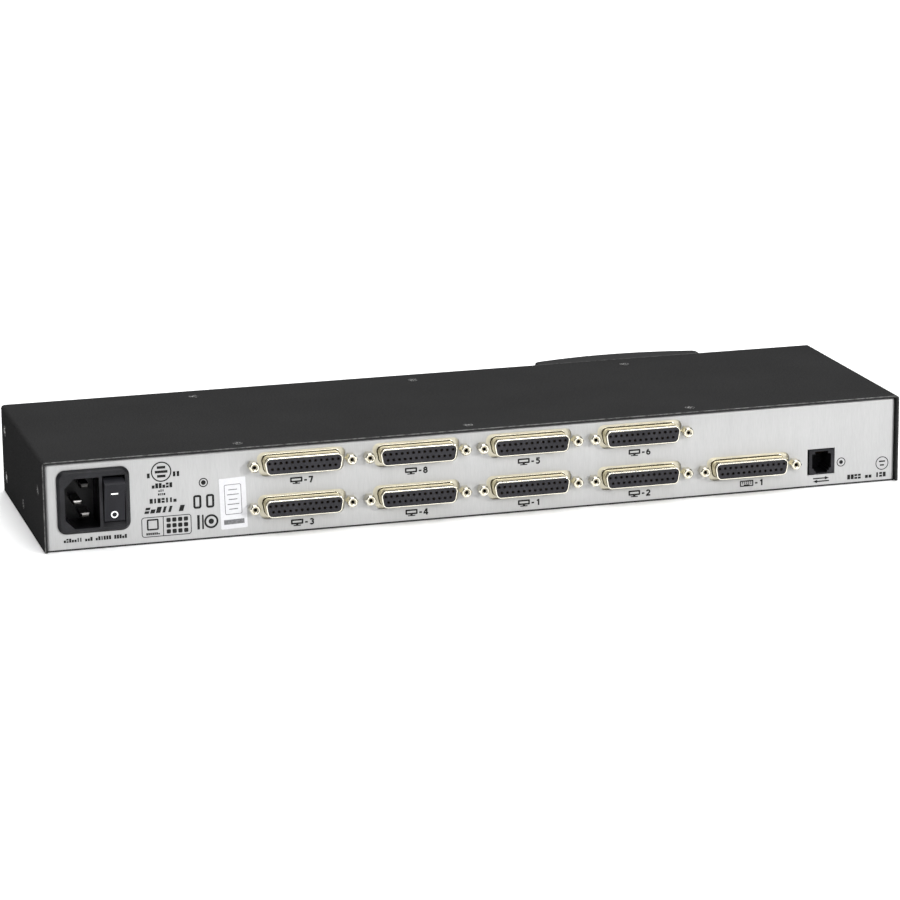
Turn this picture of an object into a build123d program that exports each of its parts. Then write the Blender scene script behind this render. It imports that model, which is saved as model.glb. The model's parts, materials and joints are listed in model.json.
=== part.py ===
from build123d import *
import math
import os

# Rack-mount switch box, 1U high.  Millimetres, +Z up.  The rear panel, with its sockets, faces +Y.
# The front panel, with its control pod, faces -Y.  The origin is at the middle of the whole
# object's footprint, on the underside of the base pan.

# ---------------------------------------------------------------------------------------------
# Driving dimensions
# ---------------------------------------------------------------------------------------------

# Case
case_width = 424.4
case_height = 43.4
case_depth = 119.0
rear_reach = 4.0
front_reach = 15.1
overall_depth = case_depth + rear_reach + front_reach
case_rear = overall_depth / 2 - rear_reach
case_front = case_rear - case_depth

# Sheet metal
cover_gauge = 1.2
cover_bend = 1.8
cover_lift = 0.3
panel_gauge = 1.2
pan_gauge = 0.8
panel_bend = 1.5
chassis_gap = 0.2
flange_gap = 0.2
flange_depth = 14.0
rear_recess = 2.0
pan_lip_height = 12.0
pan_lip_inset = 2.0

chassis_half = case_width / 2 - cover_gauge - chassis_gap
flange_top = case_height - cover_gauge - flange_gap
panel_rear = case_rear - rear_recess
panel_inside = panel_rear - panel_gauge
front_face = case_front

# Screws in the cover
cover_screw_pitch = 112.2
cover_screw_shift = 6.0
cover_screw_rear_inset = 8.8
cover_screw_front_inset = 11.9
screw_head_radius = 2.5
screw_head_angle = 90.0
screw_shank_radius = 1.4
screw_hole_gap = 0.15
screw_pilot_gap = 0.03
screw_length = 6.0
cross_width = 0.6
cross_span = 2.6
cross_depth = 0.7
side_screw_high = (15.0, 26.8)
side_screw_low = (60.0, 8.4)

# Threaded inserts for the rack ears, one pair on each side
ear_setback = 9.2
ear_low = 9.1
ear_pitch = 23.3
ear_thread_radius = 1.65
insert_shank_radius = 2.9
insert_flange_radius = 3.9
insert_flange_depth = 0.8
ear_clearance_radius = insert_flange_radius + screw_hole_gap

# 25-way sockets
port_pitch = 55.88
first_port_x = 89.4
upper_row = 33.8
lower_row = 13.2
port_reach = 6.0
shell_width = 38.4
shell_height = 8.3
shell_wall = 0.5
shell_corner = 2.6
shell_lip = 0.35
shell_slant = 10.0
shell_flange_width = 53.04
shell_flange_height = 12.55
shell_flange_gauge = 0.8
shell_root_radius = 0.6
cutout_width = 44.0
cutout_height = 11.7
cutout_corner = 3.2
insulator_gap = 0.05
insulator_sink = 0.35
insulator_back_width = 40.6
insulator_back_height = 11.6
insulator_back_depth = 6.5
contact_pitch = 2.77
high_row_count = 13
low_row_count = 12
contact_rows = 2.84
contact_hole_radius = 0.66
contact_funnel = 0.14
contact_radius = 0.6
contact_bore = 0.45
contact_sink = 1.3
contact_bore_depth = 6.0
tail_width = 0.5
tail_near = 1.0
tail_step = 2.8
tail_below_board = 1.0
tail_hole_radius = 0.45

# Hexagonal jack posts beside each socket
post_spacing = 47.04
post_across_flats = 4.75
post_length = 5.0
post_thread_radius = 1.15
post_thread_depth = 4.4
post_shank_radius = 1.4
post_hole_radius = 1.6
post_shank_length = 6.0
post_edge = 0.35

# Mains inlet with its rocker switch
inlet_x = 188.55
inlet_z = 23.35
inlet_width = 34.2
inlet_height = 30.5
inlet_rim = 2.0
inlet_corner = 4.2
inlet_bevel = 1.3
inlet_body_width = 32.2
inlet_body_height = 28.2
inlet_body_corner = 2.5
inlet_body_depth = 22.0
inlet_cutout_gap = 0.2
socket_x = 194.05
socket_z = 22.6
socket_width = 16.2
socket_height = 24.0
socket_cut = 4.4
socket_corner = 0.6
socket_depth = 16.5
blade_span = 14.0
blade_offset = 2.15
blade_width = 4.0
blade_gauge = 2.0
blade_sink = 5.0
earth_sink = 2.0
earth_offset = 1.85
blade_tip = 0.6
blade_tail = 9.0
tab_width = 4.8
tab_gauge = 0.8

# Rocker
rocker_x = 179.1
rocker_z = 23.0
rocker_width = 9.7
rocker_radius = 10.3
rocker_ridge_angle = 63.95
rocker_skirt_angle = 105.0
rocker_swing = 20.5
rocker_dish = 0.6
rocker_edge = 0.5
rocker_pivot_depth = 2.8
trunnion_radius = 1.2
trunnion_gap = 0.05
trunnion_length = 1.4
trunnion_socket = 1.0
well_width = 10.7
well_top = 35.0
well_bottom = 12.6
well_floor = 5.2
well_ramp_height = 2.1
well_ramp_depth = 1.5
switch_tab_pitch = 7.0

# Serial jack
jack_x = -172.7
jack_cutout_x = -172.25
jack_cutout_width = 14.3
jack_cutout_height = 13.1
jack_cutout_z = 12.6
jack_width = 13.2
jack_height = 12.4
jack_depth = 17.5
jack_sink = 0.3
jack_cavity_depth = 13.0
jack_window_width = 10.0
jack_window_height = 7.4
jack_notch_width = 6.8
jack_notch_height = 1.3
jack_step_width = 8.0
jack_window_lift = 2.85
jack_step_height = 1.2
jack_latch_width = 6.2
jack_latch_height = 2.35
jack_wire_pitch = 1.02
jack_wire_width = 0.5
jack_wire_count = 6
jack_wire_gauge = 0.4
jack_wire_bend = 2.5
jack_wire_reach = 10.0
jack_wire_drop = 3.4

# Circuit boards
board_gauge = 1.6
main_board_bottom = 4.5
main_board_top = main_board_bottom + board_gauge
port_board_bottom = 25.1
port_board_top = port_board_bottom + board_gauge
board_rear = panel_inside - 5.0
main_board_left = -205.0
main_board_right = 118.0
main_board_front = -28.0
port_board_left = -108.0
port_board_right = 119.0
port_board_front = 12.0
power_board_left = 124.0
power_board_right = 205.0
power_board_front = -36.0
power_board_rear = 34.0
board_corner = 1.5

# Standoffs, spacers and board screws
standoff_across = 5.5
standoff_shank_radius = 2.4
standoff_bore = 1.3
board_hole_radius = 1.7
board_screw_head_radius = 2.7
board_screw_head_height = 1.7
board_screw_length = 5.0
board_screw_radius = 1.25
pod_screw_length = 8.0
spacer_across = 5.0
main_hole_x = (-200.0, -40.0, 113.0)
main_hole_y = (44.0, -23.0)
power_hole_x = (129.0, 200.0)
power_hole_y = (29.0, -31.0)
spacer_x = (-103.0, 104.0)
spacer_y = (40.0, 17.0)

# Control pod on the front panel
pod_x = -108.0
pod_width = 88.0
pod_depth = 14.2
pod_radius = 160.0
pod_corner = 3.0
pod_wall = 2.2
pod_top = 43.2
pod_bottom = 1.4
pod_edge = 1.2
pod_gap = 0.1
pod_boss_radius = 3.0
pod_boss_reach = 38.2
pod_boss_low = 8.0
pod_boss_high = 36.5
pod_window_width = 60.0
pod_window_height = 26.0

# Keys and indicators in the pod
key_pitch = 22.0
key_z = 14.0
key_width = 13.0
key_height = 7.0
key_gap = 0.3
key_corner = 2.6
key_stand = 0.9
key_edge = 0.5
key_rim = 1.0
key_rim_depth = 1.2
key_rim_gap = 0.1
key_stem_radius = 1.5
led_z = 29.0
led_pitch = 6.6
led_count = 8
led_radius = 1.5
led_gap = 0.05
led_stand = 0.5
led_flange_radius = 1.9
led_flange_depth = 1.0
led_dome = 1.4
power_led_step = 8.5
front_board_back = case_front - 2.5
front_board_front = front_board_back - board_gauge
front_board_width = 79.0
front_board_height = 35.0
front_board_z = 21.5
switch_body = 6.0
switch_body_depth = 3.4
switch_well_radius = 1.8
switch_well_depth = 2.2
key_stem_entry = 0.8

# Power supply and chips
coil_x = 166.0
coil_y = -8.0
core_length = 28.0
core_width = 24.0
core_height = 24.0
core_leg = 6.0
core_limb = 8.0
coil_gap = 0.3
capacitor_x = 140.0
capacitor_y = 14.0
capacitor_radius = 10.5
capacitor_height = 30.0
sink_x = 192.0
sink_y = -5.0
sink_length = 40.0
sink_height = 30.0
sink_base = 3.0
sink_fin = 1.4
sink_fin_reach = 9.0
sink_fin_count = 5
fuse_x = 150.0
fuse_y = -24.0
fuse_length = 20.0
fuse_radius = 2.6
fuse_cap_length = 5.0
chip_size = 16.0
chip_height = 2.4
chip_lift = 0.3
processor_size = 24.0
processor_height = 3.6
processor_x = -150.0
processor_y = -5.0
chip_x = (-60.0, -10.0, 40.0, 90.0)
chip_y = -6.0
chip_places = [(x, chip_y) for x in chip_x]
choke_x = 140.0
choke_y = -4.0
choke_radius = 9.0
choke_bore = 4.5
choke_width = 9.0
header_length = 50.0
header_width = 5.0
header_y = 20.0
header_spread = 70.0

# Wires inside the case
lead_radius = 1.1
lead_pitch = 4.0
lead_bend = 6.0
dc_lead_count = 4
ribbon_width = 26.0
ribbon_gauge = 0.9
clearance = 0.1

rear_plane = Plane.XZ.offset(-panel_rear)
inside_plane = Plane.XZ.offset(-panel_inside)

upper_ports = {7: 0, 8: 1, 5: 2, 6: 3}
lower_ports = {3: 0, 4: 1, 1: 2, 2: 3}
console_column = 4


def port_column(column):
    return first_port_x - column * port_pitch


standoff_places = [(x, y) for x in main_hole_x for y in main_hole_y]
standoff_places += [(x, y) for x in power_hole_x for y in power_hole_y]
spacer_places = [(x, y) for x in spacer_x for y in spacer_y]
pod_boss_places = [
    (pod_x + side * pod_boss_reach, z) for side in (-1, 1) for z in (pod_boss_low, pod_boss_high)
]

upper_places = [(port_column(column), upper_row) for column in upper_ports.values()]
lower_places = [(port_column(column), lower_row) for column in lower_ports.values()]
lower_places += [(port_column(console_column), lower_row)]
port_places = upper_places + lower_places


def finish(piece, label):
    """Name a finished piece and write it."""
    piece.part.label = label
    export_step(piece.part, f"parts/{label}.step")


def d_outline(width, height, corner):
    """The D of a 25-way socket, its wide side up, with rounded corners."""
    lean = height * math.tan(math.radians(shell_slant))
    with BuildSketch() as outline:
        with BuildLine():
            Polyline(
                (-width / 2, height / 2),
                (width / 2, height / 2),
                (width / 2 - lean, -height / 2),
                (-width / 2 + lean, -height / 2),
                close=True,
            )
        make_face()
        fillet(outline.vertices(), corner)
    return outline.sketch


os.makedirs("parts", exist_ok=True)


# ---------------------------------------------------------------------------------------------
# Case
# ---------------------------------------------------------------------------------------------

cover_screw_x = [cover_screw_shift + step * cover_screw_pitch for step in (-1, 0, 1)]
cover_screw_y = [case_rear - cover_screw_rear_inset, case_front + cover_screw_front_inset]
cover_screw_places = [(x, y) for x in cover_screw_x for y in cover_screw_y]
ear_y = case_front + ear_setback
ear_places = [(ear_y, ear_low), (ear_y, ear_low + ear_pitch)]
side_screw_places = [
    (case_rear - side_screw_high[0], side_screw_high[1]),
    (case_rear - side_screw_low[0], side_screw_low[1]),
]
flush_screws = [Location((x, y, case_height)) for x, y in cover_screw_places]
for side in (-1, 1):
    for y, z in side_screw_places:
        flush_screws.append(Location((side * case_width / 2, y, z), (0, side * 90, 0)))


def make_top_cover():
    """A sheet folded into a top and two side walls."""
    inner_width = case_width - 2 * cover_gauge
    with BuildPart() as cover:
        with BuildSketch(Plane.XZ.offset(-case_rear)) as outside:
            with Locations((0, (case_height + cover_lift) / 2)):
                Rectangle(case_width, case_height - cover_lift)
            fillet(outside.vertices().group_by(Axis.Y)[-1], cover_bend)
        extrude(amount=case_depth)
        with BuildSketch(Plane.XZ.offset(-case_rear)) as inside:
            with Locations((0, (case_height - cover_gauge) / 2)):
                Rectangle(inner_width, case_height - cover_gauge)
            fillet(inside.vertices().group_by(Axis.Y)[-1], cover_bend - cover_gauge)
        extrude(amount=case_depth, mode=Mode.SUBTRACT)
        with Locations(*flush_screws):
            CounterSinkHole(
                screw_shank_radius + screw_hole_gap,
                screw_head_radius + screw_hole_gap,
                depth=2 * cover_gauge,
                counter_sink_angle=screw_head_angle,
            )
        with BuildSketch(Plane.YZ.offset(-case_width / 2)):
            with Locations(*ear_places):
                Circle(insert_shank_radius + screw_pilot_gap)
        extrude(amount=case_width, mode=Mode.SUBTRACT)
    return cover


def make_base_pan():
    """The floor of the case, with a low lip along each side."""
    pan_length = panel_rear - front_face
    pan_middle = (panel_rear + front_face) / 2
    lip_length = pan_length - 2 * (flange_depth + pan_lip_inset)
    with BuildPart() as pan:
        with BuildSketch():
            with Locations((0, pan_middle)):
                Rectangle(2 * chassis_half, pan_length)
        extrude(amount=pan_gauge)
        with BuildSketch(Plane.XY.offset(pan_gauge)):
            with Locations(
                (chassis_half - pan_gauge / 2, pan_middle),
                (-chassis_half + pan_gauge / 2, pan_middle),
            ):
                Rectangle(pan_gauge, lip_length)
        extrude(amount=pan_lip_height - pan_gauge)
        with BuildSketch():
            with Locations(*standoff_places):
                Circle(standoff_shank_radius + screw_pilot_gap)
        extrude(amount=pan_gauge, mode=Mode.SUBTRACT)
        with BuildSketch(Plane.YZ.offset(-case_width / 2)):
            with Locations(side_screw_places[1]):
                Circle(screw_shank_radius - screw_hole_gap + screw_pilot_gap)
        extrude(amount=case_width, mode=Mode.SUBTRACT)
    return pan


def flanged_sheet(outer_face, inward):
    """A wall between the pan and the cover, its four edges folded into the case."""
    middle_z = (pan_gauge + flange_top) / 2
    height = flange_top - pan_gauge
    with BuildPart() as sheet:
        with BuildSketch(Plane.XZ.offset(-outer_face)) as wall:
            with Locations((0, middle_z)):
                Rectangle(2 * chassis_half, height)
            fillet(wall.vertices().group_by(Axis.Y)[-1], panel_bend)
        extrude(amount=-inward * (panel_gauge + flange_depth))
        wall_face = sheet.faces().sort_by(Axis.Y)[-1 if inward < 0 else 0]
        fillet(wall_face.edges().sort_by(Axis.Z)[1:], panel_bend)
        with BuildSketch(Plane.XZ.offset(-(outer_face + inward * panel_gauge))):
            with Locations((0, middle_z)):
                Rectangle(2 * (chassis_half - panel_gauge), height - 2 * panel_gauge)
        extrude(amount=-inward * flange_depth, mode=Mode.SUBTRACT)
        with BuildSketch(Plane.XY.offset(flange_top)):
            with Locations(*cover_screw_places):
                Circle(screw_shank_radius - screw_hole_gap + screw_pilot_gap)
        extrude(amount=-2 * panel_gauge, mode=Mode.SUBTRACT)
    return sheet.part


def make_rear_panel():
    """The rear wall, cut for the sockets, the inlet and the jack."""
    cut_depth = panel_gauge
    port_cutout = d_outline(cutout_width, cutout_height, cutout_corner)
    with BuildPart() as panel:
        add(flanged_sheet(panel_rear, -1))
        with BuildSketch(rear_plane):
            with Locations(*port_places):
                add(port_cutout)
                with GridLocations(post_spacing, 1, 2, 1):
                    Circle(post_hole_radius)
        extrude(amount=cut_depth, mode=Mode.SUBTRACT)
        with BuildSketch(rear_plane):
            with Locations((inlet_x, inlet_z)):
                RectangleRounded(
                    inlet_body_width + 2 * inlet_cutout_gap,
                    inlet_body_height + 2 * inlet_cutout_gap,
                    inlet_body_corner,
                )
            with Locations((jack_cutout_x, jack_cutout_z)):
                Rectangle(jack_cutout_width, jack_cutout_height)
        extrude(amount=cut_depth, mode=Mode.SUBTRACT)
        with BuildSketch(Plane.YZ.offset(-case_width / 2)):
            with Locations(side_screw_places[0]):
                Circle(screw_shank_radius - screw_hole_gap + screw_pilot_gap)
        extrude(amount=case_width, mode=Mode.SUBTRACT)
    return panel


def make_front_panel():
    """The front wall, with a window behind the control pod."""
    with BuildPart() as panel:
        add(flanged_sheet(front_face, 1))
        with BuildSketch(Plane.XZ.offset(-front_face)):
            with Locations((pod_x, front_board_z)):
                RectangleRounded(pod_window_width, pod_window_height, board_corner)
            with Locations(*pod_boss_places):
                Circle(board_hole_radius)
        extrude(amount=-panel_gauge, mode=Mode.SUBTRACT)
        with BuildSketch(Plane.YZ.offset(-case_width / 2)):
            with Locations(*ear_places):
                Circle(ear_clearance_radius)
        extrude(amount=case_width, mode=Mode.SUBTRACT)
    return panel


# ---------------------------------------------------------------------------------------------
# Fasteners
# ---------------------------------------------------------------------------------------------


def countersunk_screw():
    """A cross-recessed screw, its flat head at the origin, pointing down."""
    head_height = screw_head_radius - screw_shank_radius + screw_hole_gap
    shank = screw_shank_radius - screw_hole_gap
    with BuildPart() as screw:
        with BuildSketch(Plane.XZ):
            with BuildLine():
                Polyline(
                    (0, 0),
                    (screw_head_radius, 0),
                    (shank, -head_height),
                    (shank, -screw_length),
                    (0, -screw_length),
                    close=True,
                )
            make_face()
        revolve(axis=Axis.Z)
        with BuildSketch():
            Rectangle(cross_span, cross_width)
            Rectangle(cross_width, cross_span)
        extrude(amount=-cross_depth, mode=Mode.SUBTRACT)
    return screw.part


def make_cover_screws():
    """The identical flush screws that hold the cover's top and sides."""
    with BuildPart() as screws:
        with Locations(*flush_screws):
            add(countersunk_screw())
    return screws


def make_rack_inserts():
    """Clinched nuts in the side walls, which take the rack ears' screws."""
    inner_wall = case_width / 2 - cover_gauge
    with BuildPart() as inserts:
        for side in (-1, 1):
            with BuildSketch(Plane.YZ.offset(side * case_width / 2)):
                with Locations(*ear_places):
                    Circle(insert_shank_radius)
                    Circle(ear_thread_radius, mode=Mode.SUBTRACT)
            extrude(amount=-side * cover_gauge)
            with BuildSketch(Plane.YZ.offset(side * inner_wall)):
                with Locations(*ear_places):
                    Circle(insert_flange_radius)
                    Circle(ear_thread_radius, mode=Mode.SUBTRACT)
            extrude(amount=-side * insert_flange_depth)
    return inserts


def jack_post():
    """A hexagonal threaded post, its foot at the origin and its length along +Z."""
    with BuildPart() as post:
        with BuildSketch():
            RegularPolygon(post_across_flats / 2, 6, major_radius=False)
        extrude(amount=post_length)
        tip = post_across_flats / 2
        with BuildSketch(Plane.XZ):
            with BuildLine():
                Polyline(
                    (tip - post_edge, post_length),
                    (2 * tip, post_length),
                    (2 * tip, post_length - tip - post_edge),
                    close=True,
                )
            make_face()
        revolve(axis=Axis.Z, mode=Mode.SUBTRACT)
        with Locations((0, 0, post_length)):
            CounterSinkHole(post_thread_radius, post_thread_radius + post_edge, depth=post_thread_depth)
        with BuildSketch():
            Circle(post_shank_radius)
        extrude(amount=-post_shank_length)
    return post.part


def make_jack_posts():
    """The hexagonal posts on both sides of every 25-way socket."""
    post = jack_post()
    spots = []
    for x, z in port_places:
        for side in (-1, 1):
            spots.append(Location((x + side * post_spacing / 2, panel_rear, z), (-90, 0, 0)))
    with BuildPart() as posts:
        with Locations(*spots):
            add(post)
    return posts


def pan_head_screw(length):
    """A screw with a low round head, the head's underside at the origin, pointing down."""
    with BuildPart() as screw:
        with BuildSketch():
            Circle(board_screw_head_radius)
        extrude(amount=board_screw_head_height)
        fillet(screw.faces().sort_by(Axis.Z)[-1].edges(), board_screw_head_height / 2)
        with BuildSketch(Plane.XY.offset(board_screw_head_height)):
            Rectangle(cross_span, cross_width)
            Rectangle(cross_width, cross_span)
        extrude(amount=-cross_depth, mode=Mode.SUBTRACT)
        with BuildSketch():
            Circle(board_screw_radius)
        extrude(amount=-length)
    return screw.part


def make_board_screws():
    """The screws that hold the three level circuit boards."""
    spots = [(x, y, main_board_top) for x, y in standoff_places]
    spots += [(x, y, port_board_top) for x, y in spacer_places]
    with BuildPart() as screws:
        with Locations(*spots):
            add(pan_head_screw(board_screw_length))
    return screws


def make_pod_screws():
    """The screws through the front panel into the pod's bosses."""
    inner_face = front_face + panel_gauge
    spots = [Location((x, inner_face, z), (-90, 0, 0)) for x, z in pod_boss_places]
    with BuildPart() as screws:
        with Locations(*spots):
            add(pan_head_screw(pod_screw_length))
    return screws


def make_pan_standoffs():
    """Hexagonal standoffs clinched into the pan."""
    with BuildPart() as standoffs:
        with BuildSketch(Plane.XY.offset(pan_gauge)):
            with Locations(*standoff_places):
                RegularPolygon(standoff_across / 2, 6, major_radius=False)
        extrude(amount=main_board_bottom - pan_gauge)
        with BuildSketch():
            with Locations(*standoff_places):
                Circle(standoff_shank_radius)
        extrude(amount=pan_gauge)
        with BuildSketch():
            with Locations(*standoff_places):
                Circle(standoff_bore)
        extrude(amount=main_board_bottom, mode=Mode.SUBTRACT)
    return standoffs


def make_board_spacers():
    """Tall spacers between the main board and the upper port board."""
    with BuildPart() as spacers:
        with BuildSketch(Plane.XY.offset(main_board_top)):
            with Locations(*spacer_places):
                RegularPolygon(spacer_across / 2, 6, major_radius=False)
                Circle(standoff_bore, mode=Mode.SUBTRACT)
        extrude(amount=port_board_bottom - main_board_top)
    return spacers


# ---------------------------------------------------------------------------------------------
# 25-way sockets
# ---------------------------------------------------------------------------------------------

port_front = panel_rear + port_reach
flange_back = panel_inside - shell_flange_gauge
insulator_back = flange_back - insulator_back_depth
insulator_front = port_front - insulator_sink
upper_tail_y = insulator_back - tail_near - tail_step
lower_tail_y = insulator_back - tail_near


def inset_d(distance):
    """The socket's D, drawn in evenly from the outside of its shell."""
    with BuildSketch() as inner:
        add(d_outline(shell_width, shell_height, shell_corner))
        offset(amount=-distance)
    return inner.sketch


def make_port_shell(x, z):
    """The drawn metal shell: a flange behind the panel and a D-shaped collar through it."""
    with BuildPart() as shell:
        with BuildSketch(inside_plane):
            with Locations((x, z)):
                RectangleRounded(shell_flange_width, shell_flange_height, board_corner)
        extrude(amount=shell_flange_gauge)
        with BuildSketch(inside_plane):
            with Locations((x, z)):
                add(d_outline(shell_width, shell_height, shell_corner))
        extrude(amount=-(port_reach + panel_gauge))
        on_collar_root = (
            lambda edge: abs(edge.center().Y - panel_inside) < clearance
            and abs(edge.center().Z - z) < shell_flange_height / 2 - clearance
            and abs(edge.center().X - x) < shell_flange_width / 2 - clearance
        )
        fillet(shell.edges().filter_by(on_collar_root), shell_root_radius)
        fillet(shell.faces().sort_by(Axis.Y)[-1].edges(), shell_lip)
        with BuildSketch(Plane.XZ.offset(-port_front)):
            with Locations((x, z)):
                add(inset_d(shell_wall))
        extrude(amount=2 * port_reach, mode=Mode.SUBTRACT)
        with BuildSketch(inside_plane):
            with Locations((x, z)):
                with GridLocations(post_spacing, 1, 2, 1):
                    Circle(post_hole_radius)
        extrude(amount=shell_flange_gauge, mode=Mode.SUBTRACT)
    return shell


def contact_holes(x, z, radius):
    """The upper and lower hole circles of one socket, for use inside a sketch."""
    with Locations((x, z + contact_rows / 2)):
        with GridLocations(contact_pitch, 1, high_row_count, 1):
            Circle(radius)
    with Locations((x, z - contact_rows / 2)):
        with GridLocations(contact_pitch, 1, low_row_count, 1):
            Circle(radius)


def make_port_insulator(x, z):
    """The moulded block inside a shell, pierced by its 25 contact holes."""
    with BuildPart() as insulator:
        with BuildSketch(Plane.XZ.offset(-flange_back)):
            with Locations((x, z)):
                add(inset_d(shell_wall + insulator_gap))
        extrude(amount=-(insulator_front - flange_back))
        with BuildSketch(Plane.XZ.offset(-flange_back)):
            with Locations((x, z)):
                Rectangle(insulator_back_width, insulator_back_height)
        extrude(amount=insulator_back_depth)
        with BuildSketch(Plane.XZ.offset(-insulator_front)):
            contact_holes(x, z, contact_hole_radius)
        extrude(amount=insulator_front - insulator_back, mode=Mode.SUBTRACT)
        face = insulator.faces().sort_by(Axis.Y)[-1]
        chamfer([edge for wire in face.inner_wires() for edge in wire.edges()], contact_funnel)
    return insulator


def row_offsets(count):
    """The distances along X of a row's contacts from the socket's middle."""
    return [(index - (count - 1) / 2) * contact_pitch for index in range(count)]


def socket_contact(tail_y, drop):
    """One female contact: a bored barrel, its mouth at the origin, and a square tail bent down."""
    mouth_y = insulator_front - contact_sink
    barrel = mouth_y - insulator_back
    reach = mouth_y - tail_y
    with BuildPart() as contact:
        with BuildSketch(Plane.XZ):
            Circle(contact_radius)
        extrude(amount=barrel)
        with BuildSketch(Plane.XZ):
            Circle(contact_bore)
        extrude(amount=contact_bore_depth, mode=Mode.SUBTRACT)
        with BuildSketch(Plane.XZ.offset(barrel)):
            Rectangle(tail_width, tail_width)
        extrude(amount=reach - barrel + tail_width / 2)
        with BuildSketch(Plane.XY.offset(tail_width / 2)):
            with Locations((0, -reach)):
                Rectangle(tail_width, tail_width)
        extrude(amount=-(drop + tail_width / 2))
    return contact.part


def make_row_contacts(places, board_bottom):
    """All the contacts of the sockets in one row."""
    mouth_y = insulator_front - contact_sink
    row_z = places[0][1]
    foot = board_bottom - tail_below_board
    high_z = row_z + contact_rows / 2
    low_z = row_z - contact_rows / 2
    high_contact = socket_contact(upper_tail_y, high_z - foot)
    low_contact = socket_contact(lower_tail_y, low_z - foot)
    high_spots = [(x + step, mouth_y, high_z) for x, z in places for step in row_offsets(high_row_count)]
    low_spots = [(x + step, mouth_y, low_z) for x, z in places for step in row_offsets(low_row_count)]
    with BuildPart() as contacts:
        with Locations(*high_spots):
            add(high_contact)
        with Locations(*low_spots):
            add(low_contact)
    return contacts


# ---------------------------------------------------------------------------------------------
# Mains inlet, rocker switch and serial jack
# ---------------------------------------------------------------------------------------------

inlet_face = panel_rear + inlet_rim
inlet_back = panel_rear - inlet_body_depth
pivot_y = inlet_face - rocker_pivot_depth
face_plane = Plane.XZ.offset(-inlet_face)
blade_places = [(socket_x - blade_offset, socket_z + side * blade_span / 2) for side in (-1, 1)]
earth_place = (socket_x + earth_offset, socket_z)
switch_tab_places = [(rocker_x, rocker_z + side * switch_tab_pitch / 2) for side in (-1, 1)]


def make_inlet_housing():
    """The moulded inlet: bevelled rim, mains socket with two cut corners, and the rocker's well."""
    half_width = socket_width / 2
    half_height = socket_height / 2
    with BuildPart() as housing:
        with BuildSketch(rear_plane):
            with Locations((inlet_x, inlet_z)):
                RectangleRounded(inlet_width, inlet_height, inlet_corner)
        extrude(amount=-inlet_rim)
        chamfer(housing.faces().sort_by(Axis.Y)[-1].edges(), inlet_bevel)
        with BuildSketch(rear_plane):
            with Locations((inlet_x, inlet_z)):
                RectangleRounded(inlet_body_width, inlet_body_height, inlet_body_corner)
        extrude(amount=inlet_body_depth)
        with BuildSketch(face_plane) as socket:
            with BuildLine():
                Polyline(
                    (socket_x - half_width, socket_z - half_height),
                    (socket_x + half_width - socket_cut, socket_z - half_height),
                    (socket_x + half_width, socket_z - half_height + socket_cut),
                    (socket_x + half_width, socket_z + half_height - socket_cut),
                    (socket_x + half_width - socket_cut, socket_z + half_height),
                    (socket_x - half_width, socket_z + half_height),
                    close=True,
                )
            make_face()
            fillet(socket.vertices(), socket_corner)
        extrude(amount=socket_depth, mode=Mode.SUBTRACT)
        with BuildSketch(face_plane):
            with Locations((rocker_x, (well_top + well_bottom) / 2)):
                Rectangle(well_width, well_top - well_bottom)
        extrude(amount=rocker_pivot_depth + well_floor, mode=Mode.SUBTRACT)
        with BuildSketch(Plane.YZ.offset(rocker_x - well_width / 2)):
            with BuildLine():
                Polyline(
                    (inlet_face, well_bottom - well_ramp_height),
                    (inlet_face, well_bottom),
                    (inlet_face - well_ramp_depth, well_bottom),
                    close=True,
                )
            make_face()
        extrude(amount=well_width, mode=Mode.SUBTRACT)
        with BuildSketch(Plane.YZ.offset(rocker_x)):
            with Locations((pivot_y, rocker_z)):
                Circle(trunnion_radius + trunnion_gap)
        extrude(amount=well_width / 2 + trunnion_socket, both=True, mode=Mode.SUBTRACT)
        with BuildSketch(Plane.XZ.offset(-inlet_back)):
            with Locations(*blade_places, earth_place):
                Rectangle(blade_width + clearance, blade_gauge + clearance)
        extrude(amount=-(inlet_face - socket_depth - inlet_back), mode=Mode.SUBTRACT)
        with BuildSketch(Plane.XZ.offset(-inlet_back)):
            with Locations(*switch_tab_places):
                Rectangle(tab_width + clearance, tab_gauge + clearance)
        extrude(amount=-switch_tab_pitch, mode=Mode.SUBTRACT)
    return housing


def make_blades(places, sink, tail):
    """Flat inlet pins with bevelled tips, from the socket to the back of the housing."""
    tip = Plane.XZ.offset(-(inlet_face - sink))
    length = inlet_face - sink - inlet_back
    with BuildPart() as blades:
        with BuildSketch(tip):
            with Locations(*places):
                Rectangle(blade_width, blade_gauge)
        extrude(amount=length)
        tips = [edge for face in blades.faces().group_by(Axis.Y)[-1] for edge in face.edges()]
        chamfer(tips, blade_tip)
        if tail:
            with BuildSketch(Plane.XZ.offset(-inlet_back)):
                with Locations(*places):
                    Rectangle(tab_width, tab_gauge)
            extrude(amount=tail)
    return blades


def make_switch_tabs():
    """The two terminals at the back of the rocker switch."""
    with BuildPart() as tabs:
        with BuildSketch(Plane.XZ.offset(-(inlet_back + switch_tab_pitch))):
            with Locations(*switch_tab_places):
                Rectangle(tab_width, tab_gauge)
        extrude(amount=switch_tab_pitch + blade_tail)
    return tabs


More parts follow.
